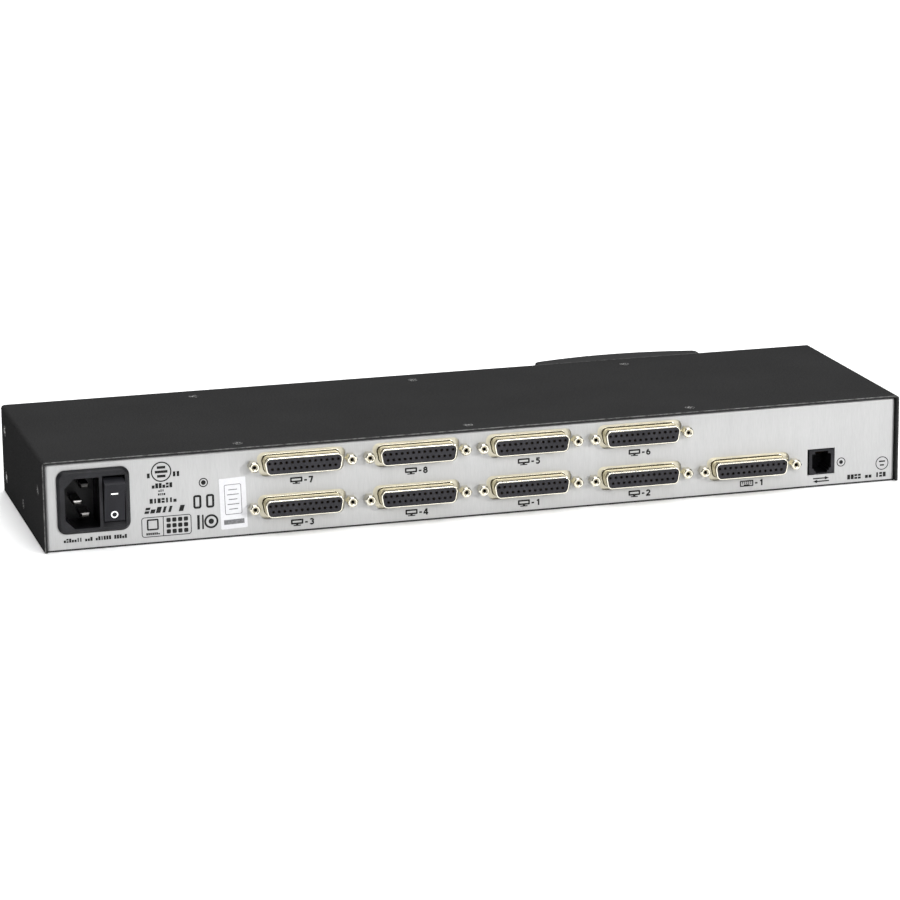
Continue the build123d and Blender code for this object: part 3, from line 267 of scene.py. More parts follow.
def moulded(
    name, dark, light, roughness, grain=2400.0, depth=0.00004, shine=0.25, shaded_below=None,
):
    """Moulded plastic: a very fine etched grain, with faint flow marks, and painted shade below a
    given Y.
    """
    plastic = Shade(name, light, roughness, Specular_IOR_Level=shine)
    etched = plastic.noise(grain, detail=2.0)
    flow = plastic.noise(90.0, detail=3.0, distortion=0.8)
    tone = plastic.maths("ADD", flow, plastic.maths("MULTIPLY", etched, 0.4))
    if shaded_below is not None:
        # Painted shade deep in a hollow: the tone drops below this Y.
        deep = plastic.maths("LESS_THAN", plastic.along("Y"), shaded_below * MM)
        tone = plastic.maths("SUBTRACT", tone, plastic.maths("MULTIPLY", deep, 2.0))
        dark = tuple(channel * 0.3 for channel in dark)
    plastic.tint(tone, 0.4, 1.0, dark, light)
    plastic.gloss(flow, 0.3, 0.7, roughness - 0.05, roughness + 0.06)
    plastic.bump(etched, depth, 0.6)
    return plastic.material


def plated(name, dark, light, roughness, spread=0.05):
    """Plated or polished metal: faint stains in the plating and a soft drawn grain."""
    metal = Shade(name, light, roughness, metallic=1.0)
    stains = metal.noise(150.0, detail=3.0, roughness=0.55)
    drawn = metal.noise(700.0, detail=2.0, vector=metal.stretched(x=0.2, y=1.0, z=1.0))
    metal.tint(stains, 0.3, 0.7, dark, light)
    metal.gloss(stains, 0.3, 0.7, roughness + spread, roughness)
    metal.bump(drawn, 0.000006, 0.3)
    return metal.material


def drawn_shell():
    """A socket's plated shell: a dull flange, then a bright collar, with painted reflections as
    bright and dark bands round it.
    """
    metal = Shade("shell_gold", (0.85, 0.8, 0.66), 0.12, metallic=1.0)
    height = metal.along("Y")
    flange = metal.maths("LESS_THAN", height, (FLANGE_FACE + FLANGE_SKIN) * MM)
    stains = metal.noise(150.0, detail=3.0, roughness=0.55)
    stipple = metal.noise(1700.0, detail=2.0)
    waver = metal.maths("MULTIPLY", metal.maths("SUBTRACT", stains, 0.5), 0.0001)
    rise = metal.maths("ADD", height, waver)
    reach = PORT_REACH + PANEL_GAUGE
    # From the flange's face, 0, to the collar's rim, 1: painted shade in the crease at the collar's
    # root, then painted reflections as bright and dark bands up to the rim.
    tone = metal.ramp(
        metal.remap(rise, FLANGE_FACE * MM, (FLANGE_FACE + reach) * MM, 0.0, 1.0),
        (0.0, (0.54, 0.51, 0.415)),
        (0.03, (0.10, 0.083, 0.04)),
        (0.13, (0.20, 0.165, 0.08)),
        (0.21, (0.88, 0.83, 0.68)),
        (0.39, (0.86, 0.81, 0.66)),
        (0.44, (0.38, 0.33, 0.20)),
        (0.49, (0.88, 0.83, 0.69)),
        (0.71, (0.91, 0.87, 0.73)),
        (0.77, (0.12, 0.10, 0.045)),
        (0.89, (0.14, 0.12, 0.055)),
        (0.94, (0.86, 0.82, 0.69)),
        (1.0, (0.88, 0.84, 0.72)),
    )
    metal.link(tone, metal.shader.inputs["Base Color"])
    dullness = metal.maths("ADD", flange, metal.maths("MULTIPLY", stains, 0.2))
    metal.gloss(dullness, 0.0, 1.2, 0.16, 0.5)
    metal.bump(metal.maths("MULTIPLY", stipple, flange), 0.00004, 0.4)
    return metal.material


def pin_metal():
    """The inlet's pins: flats darkened by painted shade, with a painted highlight on the
    upward-facing bevels round their tips.
    """
    metal = Shade("blade_nickel", (0.3, 0.3, 0.29), 0.3, metallic=1.0)
    facing = metal.node("ShaderNodeSeparateXYZ")
    metal.link(metal.coordinates.outputs["Normal"], facing.inputs["Vector"])
    # Painted highlight: the bevels that face up are lighter than the flats.
    lit_bevel = metal.maths(
        "MULTIPLY",
        metal.maths("GREATER_THAN", facing.outputs["Z"], 0.5),
        metal.maths("LESS_THAN", facing.outputs["Z"], 0.9),
    )
    scuffs = metal.noise(600.0, detail=3.0)
    tone = metal.maths("ADD", lit_bevel, metal.maths("MULTIPLY", scuffs, 0.15))
    metal.tint(tone, 0.0, 1.1, (0.03, 0.029, 0.027), (0.42, 0.41, 0.40))
    metal.gloss(scuffs, 0.3, 0.7, 0.25, 0.4)
    metal.bump(scuffs, 0.000006, 0.3)
    return metal.material


def thread_metal():
    """The threads in a post's bore, with painted shade that darkens them with depth below the mouth.
    """
    metal = Shade("thread_steel", (0.4, 0.38, 0.32), 0.35, metallic=1.0)
    grime = metal.noise(900.0, detail=2.0)
    # Painted shade: the threads darken from the mouth into the bore.
    tip = PANEL_Y + POST_LENGTH
    depth = metal.remap(
        metal.along("Y"), (tip - THREAD_SHADE_FULL) * MM, (tip - THREAD_SHADE_START) * MM, 0.0, 1.0,
    )
    tone = metal.maths("ADD", depth, metal.maths("MULTIPLY", grime, 0.2))
    metal.tint(tone, 0.05, 1.1, (0.02, 0.019, 0.016), (0.62, 0.58, 0.48))
    metal.gloss(grime, 0.3, 0.7, 0.3, 0.45)
    metal.bump(grime, 0.00001, 0.3)
    return metal.material


def blackened(name, bright, rear_highlight):
    """Blackened steel, with painted glints in specks and a painted highlight on the faces that look
    to the rear.
    """
    steel = Shade(name, (0.014, 0.014, 0.014), 0.6, Specular_IOR_Level=0.05)
    glint_specks = steel.noise(1300.0, detail=2.0)
    facing = steel.node("ShaderNodeSeparateXYZ")
    steel.link(steel.coordinates.outputs["Normal"], facing.inputs["Vector"])
    # Painted highlight on the faces that look to the rear.
    edges = steel.maths("GREATER_THAN", facing.outputs["Y"], 0.6)
    edges = steel.maths("MULTIPLY", edges, rear_highlight)
    steel.tint(steel.maths("ADD", glint_specks, edges), 0.58, 0.9, (0.010, 0.010, 0.010), bright)
    steel.gloss(glint_specks, 0.3, 0.7, 0.7, 0.5)
    steel.bump(glint_specks, 0.00004, 0.4)
    return steel.material


def brushed_panel():
    """The rear panel: satin zinc with a faint upright grain and soft clouding."""
    metal = Shade("zinc_panel", (0.6, 0.6, 0.6), 0.42, metallic=0.2, Specular_IOR_Level=0.3)
    fine = metal.stretched(x=2600.0, y=1500.0, z=220.0)
    grain = metal.noise(1.0, detail=3.0, roughness=0.7, vector=fine)
    broad = metal.noise(1.0, detail=2.0, vector=metal.stretched(x=260.0, y=120.0, z=26.0))
    clouds = metal.noise(30.0, detail=3.0, roughness=0.5)
    tone = metal.maths("MULTIPLY", grain, 0.6)
    tone = metal.maths("ADD", tone, metal.maths("MULTIPLY", broad, 0.2))
    tone = metal.maths("ADD", tone, metal.maths("MULTIPLY", clouds, 0.25))
    metal.tint(tone, 0.3, 0.78, (0.345, 0.345, 0.345), (0.435, 0.435, 0.435))
    metal.gloss(grain, 0.3, 0.7, 0.4, 0.5)
    metal.bump(grain, 0.00002, 0.3)
    return metal.material


def print_ink(name="print_ink", dark=(0.010, 0.010, 0.010), light=(0.024, 0.024, 0.023)):
    """Screen-printed ink with slightly uneven cover."""
    ink = Shade(name, light, 0.6, Specular_IOR_Level=0.05)
    cover = ink.noise(1400.0, detail=3.0)
    ink.tint(cover, 0.3, 0.75, dark, light)
    ink.gloss(cover, 0.3, 0.7, 0.42, 0.6)
    ink.bump(cover, 0.000006, 0.3)
    return ink.material


def white_print():
    """White printing on the dark plastics."""
    ink = Shade("white_print", (0.9, 0.9, 0.9), 0.45)
    cover = ink.noise(1500.0, detail=3.0)
    ink.tint(cover, 0.3, 0.7, (0.8, 0.8, 0.79), (0.93, 0.93, 0.92))
    ink.gloss(cover, 0.3, 0.7, 0.38, 0.55)
    ink.bump(cover, 0.000006, 0.3)
    return ink.material


def label_film():
    """A white film label with a slight fibre and a satin face."""
    film = Shade("label_film", (0.92, 0.92, 0.94), 0.4)
    fibre = film.noise(1100.0, detail=5.0, roughness=0.7)
    film.tint(fibre, 0.3, 0.7, (0.52, 0.52, 0.54), (0.585, 0.585, 0.6))
    film.gloss(fibre, 0.3, 0.7, 0.34, 0.5)
    film.bump(fibre, 0.00001, 0.35)
    return film.material


def circuit_board():
    """Green solder mask over faint copper tracks."""
    board = Shade("circuit_board", (0.02, 0.15, 0.06), 0.3)
    tracks = board.cells(420.0, vector=board.stretched(x=1.0, y=1.0, z=0.01))
    weave = board.noise(2600.0, detail=2.0)
    board.tint(tracks, 0.1, 0.75, (0.012, 0.16, 0.06), (0.006, 0.085, 0.035))
    board.gloss(weave, 0.3, 0.7, 0.22, 0.38)
    board.bump(tracks, 0.00004, 0.4)
    return board.material


def lamp_lens():
    """Diffused lamp lenses: green ones for the channels and an amber one at the row's end."""
    lens = Shade("lamp_lens", (0.2, 0.5, 0.2), 0.18, Coat_Weight=0.4, Coat_Roughness=0.08)
    haze = lens.noise(1800.0, detail=2.0)
    cloud = lens.remap(haze, 0.3, 0.7, 0.0, 1.0)
    green = lens.ramp(cloud, (0.0, (0.10, 0.30, 0.08)), (1.0, (0.17, 0.44, 0.13)))
    amber = lens.ramp(cloud, (0.0, (0.50, 0.20, 0.02)), (1.0, (0.68, 0.30, 0.04)))
    row_end = (POD_X + LED_PITCH * LED_COUNT / 2 + LAMP_ROW_MARGIN) * MM
    choose = lens.maths("GREATER_THAN", lens.along("X"), row_end)
    mix = lens.node("ShaderNodeMix", data_type="RGBA")
    lens.link(choose, mix.inputs["Factor"])
    lens.link(green, mix.inputs["A"])
    lens.link(amber, mix.inputs["B"])
    lens.link(mix.outputs["Result"], lens.shader.inputs["Base Color"])
    lens.gloss(haze, 0.3, 0.7, 0.12, 0.25)
    return lens.material


def wound_copper():
    """Enamelled wire wound in close turns."""
    wire = Shade("wound_copper", (0.55, 0.22, 0.08), 0.35, metallic=0.8)
    turns = wire.node("ShaderNodeTexWave", bands_direction="Z")
    turns.inputs["Scale"].default_value = 320.0
    turns.inputs["Distortion"].default_value = 0.6
    wire.link(wire.coordinates.outputs["Object"], turns.inputs["Vector"])
    wire.tint(turns.outputs["Fac"], 0.0, 1.0, (0.18, 0.06, 0.02), (0.62, 0.27, 0.1))
    wire.gloss(turns.outputs["Fac"], 0.0, 1.0, 0.5, 0.28)
    wire.bump(turns.outputs["Fac"], 0.0002, 0.6)
    return wire.material


def glass_tube():
    """The fuse's clear tube with bright end caps."""
    glass = Shade("fuse_tube", (0.8, 0.82, 0.82), 0.12, metallic=0.0)
    ends = glass.maths("ABSOLUTE", glass.maths("SUBTRACT", glass.along("X"), FUSE_X * MM), 0.0)
    caps = glass.maths("GREATER_THAN", ends, FUSE_CAP_START * MM)
    speckle = glass.noise(900.0)
    tone = glass.maths("ADD", caps, glass.maths("MULTIPLY", speckle, 0.2))
    glass.tint(tone, 0.0, 1.1, (0.4, 0.44, 0.43), (0.75, 0.74, 0.7))
    glass.link(caps, glass.shader.inputs["Metallic"])
    glass.gloss(speckle, 0.3, 0.7, 0.08, 0.2)
    return glass.material


def floor_material():
    """A pale, nearly even floor."""
    floor = Shade("studio_floor", (0.93, 0.93, 0.93), 0.6)
    speckle = floor.noise(60.0, detail=2.0)
    floor.tint(speckle, 0.2, 0.8, (0.92, 0.92, 0.92), (0.94, 0.94, 0.94))
    return floor.material


# Each material by the record's slot, with its dark and light tones.
MATERIALS = {
    "cover_paint": powder_coat(
        "cover_paint", (0.0161, 0.0161, 0.0163), (0.0312, 0.0312, 0.0315),
        grain=1500.0, roughness=0.74, highlighted_rims=True,
    ),
    "pan_paint": powder_coat(
        "pan_paint", (0.024, 0.024, 0.0245), (0.05, 0.05, 0.0505), grain=1300.0, roughness=0.7,
    ),
    "panel_zinc": brushed_panel(),
    "front_paint": powder_coat(
        "front_paint", (0.021, 0.021, 0.0213), (0.041, 0.041, 0.0414), grain=1500.0, roughness=0.7,
    ),
    "pod_plastic": moulded(
        "pod_plastic", (0.0161, 0.0161, 0.0164), (0.0245, 0.0245, 0.025), 0.55,
        grain=1800.0, depth=0.00006, shine=0.006,
    ),
    "key_plastic": moulded("key_plastic", (0.16, 0.17, 0.18), (0.22, 0.23, 0.24), 0.38),
    "inlet_plastic": moulded(
        "inlet_plastic", (0.0095, 0.0095, 0.0112), (0.021, 0.021, 0.024), 0.36,
        shine=0.18, shaded_below=PANEL_Y + INLET_RIM - INLET_SHADE_DEPTH,
    ),
    "rocker_plastic": moulded(
        "rocker_plastic", (0.0102, 0.0102, 0.0124), (0.0172, 0.0172, 0.0202), 0.4, shine=0.13,
    ),
    "jack_plastic": moulded(
        "jack_plastic", (0.018, 0.018, 0.021), (0.03, 0.03, 0.034), 0.42,
        shine=0.12, shaded_below=PANEL_Y - JACK_SHADE_DEPTH,
    ),
    "shell_gold": drawn_shell(),
    "insulator_plastic": moulded(
        "insulator_plastic", (0.020, 0.0195, 0.0222), (0.0325, 0.0315, 0.0358), 0.5, shine=0.09,
    ),
    "contact_gold": plated("contact_gold", (0.035, 0.026, 0.012), (0.09, 0.066, 0.03), 0.5),
    "post_nickel": plated("post_nickel", (0.60, 0.57, 0.47), (0.80, 0.77, 0.67), 0.15, spread=0.06),
    "blade_nickel": pin_metal(),
    "insert_zinc": blackened("insert_zinc", (0.9, 0.9, 0.88), 0.4),
    "screw_black": blackened("screw_black", (0.6, 0.6, 0.59), 0.28),
    "screw_zinc": plated("screw_zinc", (0.52, 0.52, 0.5), (0.78, 0.78, 0.76), 0.28),
    "board_green": circuit_board(),
    "chip_black": moulded("chip_black", (0.014, 0.014, 0.015), (0.026, 0.026, 0.027), 0.5),
    "ferrite": moulded(
        "ferrite", (0.05, 0.05, 0.055), (0.09, 0.09, 0.095), 0.45, grain=900.0, depth=0.0001,
    ),
    "copper": wound_copper(),
    "can_sleeve": moulded("can_sleeve", (0.01, 0.015, 0.05), (0.02, 0.03, 0.09), 0.25),
    "sink_aluminium": plated("sink_aluminium", (0.5, 0.5, 0.52), (0.68, 0.68, 0.7), 0.35),
    "fuse_glass": glass_tube(),
    "wire_jacket": moulded("wire_jacket", (0.2, 0.012, 0.012), (0.34, 0.03, 0.025), 0.42),
    "ribbon_grey": moulded("ribbon_grey", (0.4, 0.4, 0.4), (0.55, 0.55, 0.55), 0.5),
    "led_lens": lamp_lens(),
}
INK = print_ink()
GREY_INK = print_ink("grey_ink", (0.11, 0.11, 0.115), (0.2, 0.2, 0.205))
WHITE = white_print()
FILM = label_film()

for row in frame["record"]["subparts"]:
    part = nodes[row["node"]]
    part.data.materials.clear()
    part.data.materials.append(MATERIALS[row["material_slot"]])

# ---------------------------------------------------------------------------------------------
# Flat shapes: lists of polygons in millimetres, u to the right and v up
# ---------------------------------------------------------------------------------------------


def bar(u, v, width, height, lean=0.0):
    """A rectangle about a centre; lean shears its top to the right."""
    return [[
        (u - width / 2 - lean / 2, v - height / 2),
        (u + width / 2 - lean / 2, v - height / 2),
        (u + width / 2 + lean / 2, v + height / 2),
        (u - width / 2 + lean / 2, v + height / 2),
    ]]


def disc(u, v, radius, sides=32):
    """A filled circle."""
    angles = [2 * math.pi * k / sides for k in range(sides)]
    return [[(u + radius * math.cos(angle), v + radius * math.sin(angle)) for angle in angles]]


def band(outer, inner):
    """The strip between two outlines with as many points each."""
    count = len(outer)
    return [
        [outer[k], outer[(k + 1) % count], inner[(k + 1) % count], inner[k]]
        for k in range(count)
    ]


def ring(u, v, radius, stroke, sides=48):
    """A circle drawn with a line; radius is its outer edge."""
    return band(disc(u, v, radius, sides)[0], disc(u, v, radius - stroke, sides)[0])


def rounded(u, v, width, height, corner, steps=6):
    """A rounded rectangle's outline."""
    points = []
    for quarter, (side_u, side_v) in enumerate(((1, 1), (-1, 1), (-1, -1), (1, -1))):
        centre_u = u + side_u * (width / 2 - corner)
        centre_v = v + side_v * (height / 2 - corner)
        for k in range(steps + 1):
            angle = math.pi / 2 * (quarter + k / steps)
            points.append((centre_u + corner * math.cos(angle), centre_v + corner * math.sin(angle)))
    return points


def box_line(u, v, width, height, corner, stroke):
    """A rounded rectangle drawn with a line."""
    return band(
        rounded(u, v, width, height, corner),
        rounded(u, v, width - 2 * stroke, height - 2 * stroke, max(corner - stroke, 0.05)),
    )


def shifted(shapes, u, v):
    """The same shapes, moved."""
    return [[(a + u, b + v) for a, b in shape] for shape in shapes]


def arc(u, v, radius_u, radius_v, start, end, steps=12):
    """Points along an ellipse, from one angle to another in degrees."""
    angles = [math.radians(start + (end - start) * k / steps) for k in range(steps + 1)]
    return [(u + radius_u * math.cos(angle), v + radius_v * math.sin(angle)) for angle in angles]


def ribbon(path, stroke):
    """A stroke of even width along a path."""
    left, right = [], []
    for k, (u, v) in enumerate(path):
        before, after = path[max(k - 1, 0)], path[min(k + 1, len(path) - 1)]
        along = Vector((after[0] - before[0], after[1] - before[1])).normalized()
        left.append((u - along.y * stroke / 2, v + along.x * stroke / 2))
        right.append((u + along.y * stroke / 2, v - along.x * stroke / 2))
    return [[right[k], right[k + 1], left[k + 1], left[k]] for k in range(len(path) - 1)]


def loop(u, v, radius_u, radius_v, stroke, steps=28):
    """A closed oval stroke."""
    outer = arc(u, v, radius_u + stroke / 2, radius_v + stroke / 2, 0, 360, steps)[:-1]
    inner = arc(u, v, radius_u - stroke / 2, radius_v - stroke / 2, 0, 360, steps)[:-1]
    return band(outer, inner)


# Plain digits, one unit tall about the origin.
PEN = 0.25
DIGITS = {
    "1": bar(0.1, 0.0, PEN, 1.0) + ribbon([(-0.17, 0.19), (0.0, 0.38)], PEN * 0.8),
    "2": (
        ribbon(arc(0.0, 0.17, 0.25, 0.23, 172, -28) + [(-0.2, -0.34)], PEN)
        + bar(0.0, -0.4, 0.7, PEN)
    ),
    "3": (
        ribbon(arc(0.0, 0.2, 0.23, 0.2, 155, -90), PEN)
        + ribbon(arc(0.0, -0.18, 0.25, 0.22, 90, -158), PEN)
    ),
    "4": (
        bar(0.14, 0.0, PEN, 1.0)
        + ribbon([(0.06, 0.42), (-0.3, -0.2)], PEN * 0.9)
        + bar(0.0, -0.2, 0.76, PEN * 0.9)
    ),
    "5": (
        bar(0.03, 0.4, 0.56, PEN)
        + bar(-0.17, 0.17, PEN * 0.9, 0.28)
        + ribbon(arc(-0.02, -0.14, 0.27, 0.26, 128, -150), PEN)
    ),
    "6": loop(0.0, -0.17, 0.24, 0.23, PEN) + ribbon(arc(0.3, -0.1, 0.54, 0.52, 116, 180), PEN),
    "7": bar(0.0, 0.4, 0.7, PEN) + ribbon([(0.22, 0.32), (-0.08, -0.5)], PEN * 1.05),
    "8": loop(0.0, 0.21, 0.2, 0.19, PEN) + loop(0.0, -0.19, 0.25, 0.21, PEN),
}
DIGIT_WIDTH = 0.72


def digit_shapes(number, height):
    """A digit of a given height about the origin."""
    return [[(u * height, v * height) for u, v in shape] for shape in DIGITS[number]]


def solid_print(name, shapes, place, thickness, material, body, sink=0.0):
    """Raises flat shapes into a thin closed solid, carried onto a surface by place(u, v, t)."""
    flat = bmesh.new()
    for shape in shapes:
        flat.faces.new([flat.verts.new((u, v, 0.0)) for u, v in shape])
    bmesh.ops.remove_doubles(flat, verts=flat.verts[:], dist=1e-4)
    flat.verts.ensure_lookup_table()
    for face in flat.faces:
        if face.normal.z < 0:
            face.normal_flip()
    flat.normal_update()
    points = [tuple(v.co[:2]) for v in flat.verts]
    count = len(points)
    faces = []
    for face in flat.faces:
        ids = [v.index for v in face.verts]
        if face.calc_area() == 0.0:
            continue
        top = ids if face.normal.z >= 0 else ids[::-1]
        faces.append([i + count for i in top])
        faces.append(top[::-1])
    for edge in flat.edges:
        if len(edge.link_loops) != 1:
            continue
        a = edge.link_loops[0].vert.index
        b = edge.link_loops[0].link_loop_next.vert.index
        faces.append([a, b, b + count, a + count])
    flat.free()
    verts = [place(u, v, -sink) for u, v in points] + [place(u, v, thickness) for u, v in points]
    mesh = bpy.data.meshes.new(name)
    mesh.from_pydata([tuple(c * MM for c in p) for p in verts], [], faces)
    mesh.validate()
    mesh.materials.append(material)
    thing = bpy.data.objects.new(name, mesh)
    bpy.context.scene.collection.objects.link(thing)
    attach(thing, body)


def on_panel(x, z):
    """A place on the rear panel; u runs to the viewer's right, which is -X."""
    return lambda u, v, t: (x - u, PANEL_Y + t, z + v)


# ---------------------------------------------------------------------------------------------
# Printing on the rear panel
# ---------------------------------------------------------------------------------------------


def screen_sign():
    """A monitor on a foot, as tall as the digits."""
    return (
        box_line(0.0, 0.42, 6.0, 2.5, 0.4, 0.8)
        + bar(0.0, -1.03, 1.2, 0.42)
        + bar(0.0, -1.42, 3.6, 0.5)
    )


def keyboard_sign():
    """A keyboard: an outline with rows of keys."""
    shapes = box_line(0.0, 0.0, 7.0, 3.1, 0.4, 0.6)
    for row_v in (0.62, -0.06):
        for k in range(5):
            shapes += bar((k - 2) * 1.05, row_v, 0.68, 0.46)
    shapes += bar(0.0, -0.74, 3.0, 0.44)
    return shapes


def two_way_sign():
    """Two arrows, one each way."""
    shapes = []
    for direction, v in ((1, 0.75), (-1, -0.75)):
        shapes += bar(-direction * 1.1, v, 6.2, 0.62)
        tip = [(direction * 2.0, v + 0.85), (direction * 2.0, v - 0.85), (direction * 4.2, v)]
        shapes.append(tip if direction < 0 else tip[::-1])
    return shapes


def numbered(sign, sign_half, number):
    """A sign, a dash and a number, centred as a line."""
    digit, digit_width = digit_shapes(number, DIGIT_HEIGHT), DIGIT_WIDTH * DIGIT_HEIGHT
    gap, dash = 0.8, 1.35
    total = 2 * sign_half + 2 * gap + dash + digit_width
    left = -total / 2
    shapes = shifted(sign, left + sign_half, 0.0)
    shapes += bar(left + 2 * sign_half + gap + dash / 2, -0.1, dash, 0.78)
    shapes += shifted(digit, total / 2 - digit_width / 2, 0.0)
    return shapes


for numbers, label_z in ((UPPER_PORTS, UPPER_LABEL_Z), (LOWER_PORTS, LOWER_LABEL_Z)):
    for number, column in numbers.items():
        solid_print(
            f"port_{number}_label",
            numbered(screen_sign(), SCREEN_SIGN_HALF, number),
            on_panel(PORT_COLUMNS[column], label_z),
            INK_THICKNESS, INK, "case",
        )
solid_print(
    "console_label", numbered(keyboard_sign(), KEYBOARD_SIGN_HALF, "1"), on_panel(*CONSOLE_LABEL),
    INK_THICKNESS, INK, "case",
)
solid_print("jack_label", two_way_sign(), on_panel(*JACK_LABEL), INK_THICKNESS, INK, "case")


def greeked(width, height, letters, lean=0.0, seed=1, gaps=()):
    """A line of small blocks that stands where wording would be."""
    dice = random.Random(seed)
    pitch = width / letters
    wide = pitch * 0.8
    shapes = []

    def block(u, middle, across, tall):
        return bar(u + middle * lean / height, middle, across, tall, lean * tall / height)

    for k in range(letters):
        if k in gaps:
            continue
        u = -width / 2 + (k + 0.5) * pitch
        form = dice.choice(("post", "low", "split", "full", "full"))
        if form == "post":
            shapes += block(u, 0.0, wide * 0.6, height)
        elif form == "low":
            shapes += block(u, -height * 0.18, wide, height * 0.64)
        elif form == "split":
            shapes += block(u, height * 0.29, wide, height * 0.42)
            shapes += block(u, -height * 0.29, wide, height * 0.42)
        else:
            shapes += block(u, 0.0, wide, height)
    return shapes


def ring_mark():
    """A ring round three bars, with a block on its left and two on its right."""
    shapes = ring(0.0, 0.0, 4.85, 0.6)
    shapes += bar(0.0, 2.1, 4.0, 1.25) + bar(0.0, 0.0, 6.0, 1.25) + bar(0.0, -2.1, 4.0, 1.25)
    shapes += bar(-6.1, -1.5, 1.3, 2.3)
    shapes += bar(6.1, -1.5, 1.2, 2.4) + bar(7.9, -1.5, 1.2, 2.4)
    return shapes


def greeked_at(u, v, width, height, letters, **choices):
    """A line of small blocks about a centre."""
    return shifted(greeked(width, height, letters, **choices), u, v)


def two_cell_box():
    """A rounded frame in two cells: a hollow square over a line, and rows of blocks."""
    shapes = box_line(0.0, 0.0, 23.7, 9.7, 1.4, 0.36)
    shapes += bar(-1.5, 0.0, 0.36, 9.0)
    shapes += box_line(-6.5, 1.1, 5.6, 5.4, 0.6, 0.75)
    shapes += greeked_at(-6.5, -3.3, 6.6, 1.1, 7, seed=11)
    for column in range(4):
        for line in range(3):
            shapes += [rounded(1.0 + column * 2.75, 2.75 - line * 2.75, 2.05, 2.05, 0.5, 4)]
    return shapes


# Each mark's shapes, and its place on the panel as (X, Z).
MARKS = {
    "round_mark": (ring_mark(), (156.3, 34.3)),
    "round_mark_line": (greeked(10.0, 2.4, 6, seed=3), (156.1, 27.7)),
    "small_line_1": (greeked(2.8, 1.0, 3, seed=4), (156.6, 25.3)),
    "small_line_2": (greeked(3.6, 1.0, 4, seed=5), (156.4, 23.5)),
    "code_line": (greeked(13.1, 2.3, 7, seed=6), (155.8, 20.5)),
    "slanted_line": (greeked(19.0, 2.9, 7, lean=0.9, seed=7, gaps=(5,)), (155.2, 16.1)),
    "two_cell_mark": (two_cell_box(), (154.5, 8.1)),
    "dot_mark": (ring(0.0, 0.0, 2.2, 0.5) + disc(0.0, 0.0, 1.15, 20), (136.5, 27.5)),
    "pair_mark": (
        box_line(-3.05, 0.0, 3.9, 6.6, 1.2, 1.05)
        + box_line(3.05, 0.0, 3.9, 6.6, 1.2, 1.05),
        (136.55, 18.4),
    ),
    "bar_mark": (
        bar(-3.5, 0.0, 1.2, 7.0) + bar(-1.4, 0.0, 0.8, 7.0)
        + ring(2.6, 0.0, 3.4, 0.95) + disc(2.6, 0.0, 1.3),
        (135.8, 8.5),
    ),
    "rating_line": (greeked(29.9, 1.9, 24, seed=8, gaps=(7, 11, 18)), (188.2, 4.9)),
    "jack_side_mark": (ring(0.0, 0.0, 2.3, 0.42) + disc(0.0, 0.0, 1.0, 20), (-182.8, 11.5)),
    "round_stamp": (
        ring(0.0, 0.0, 3.4, 0.42) + bar(0.0, 0.95, 3.2, 0.75) + bar(0.0, -0.95, 2.2, 0.75),
        (-204.5, 9.2),
    ),
    "origin_line": (greeked(20.7, 2.4, 11, seed=9, gaps=(4, 7)), (-196.4, 3.5)),
}
for name, (shapes, place) in MARKS.items():
    solid_print(name, shapes, on_panel(*place), INK_THICKNESS, INK, "case")

# The white film label, with a frame, five lines and a broad bar.
LABEL_X, LABEL_Z = 122.5, 16.4
LABEL_WIDTH, LABEL_HEIGHT, LABEL_CORNER = 12.7, 24.6, 0.5
LABEL_LIFT = 0.12
LABEL_TURN = math.radians(1.6)


def on_label(base):
    """A place on the label, which is stuck on with a slight turn; base is the height below."""
    def place(u, v, t):
        along = u * math.cos(LABEL_TURN) - v * math.sin(LABEL_TURN)
        up = u * math.sin(LABEL_TURN) + v * math.cos(LABEL_TURN)
        return (LABEL_X - along, PANEL_Y + base + t, LABEL_Z + up)
    return place


solid_print(
    "film_label", [rounded(0.0, 0.0, LABEL_WIDTH, LABEL_HEIGHT, LABEL_CORNER)], on_label(0.0),
    LABEL_LIFT, FILM, "case",
)


def label_print():
    """A frame with five thin lines in it, long and short by turns."""
    shapes = box_line(0.0, 1.9, 8.2, 14.6, 0.8, 0.3)
    for line in range(5):
        shapes += bar(0.0, 6.6 - line * 2.35, 5.6 if line % 2 else 4.2, 0.42)
    return shapes


LABEL_PRINTS = {
    "film_label_print": label_print(),
    "film_label_bar": bar(0.0, -9.0, 9.8, 2.3),
}
for name, shapes in LABEL_PRINTS.items():
    solid_print(name, shapes, on_label(LABEL_LIFT), INK_THICKNESS, GREY_INK, "case")

# ---------------------------------------------------------------------------------------------
# Threads in the jack posts' bores
# ---------------------------------------------------------------------------------------------

POST_SPACING = 47.04
UPPER_ROW, LOWER_ROW = 33.8, 13.2
THREAD_ROOT, THREAD_CREST, THREAD_PITCH = 1.14, 0.88, 0.45
THREAD_TURNS = 8
THREAD_START = 0.25
THREAD_TAPER = 0.03
CUP_FLOOR = 0.2
THREAD_SIDES = 20


def thread_profile():
    """The section of a threaded cup: (radius, depth below the post's tip)."""
    section = [(THREAD_ROOT, THREAD_START)]
    for turn in range(THREAD_TURNS):
        depth = THREAD_START + turn * THREAD_PITCH
        section.append((THREAD_CREST, depth + THREAD_PITCH / 2))
        section.append((THREAD_ROOT - THREAD_TAPER, depth + THREAD_PITCH))
    inside = THREAD_START + THREAD_TURNS * THREAD_PITCH
    outside = inside + CUP_FLOOR
    return section + [(0.0, inside), (0.0, outside), (THREAD_ROOT, outside)]


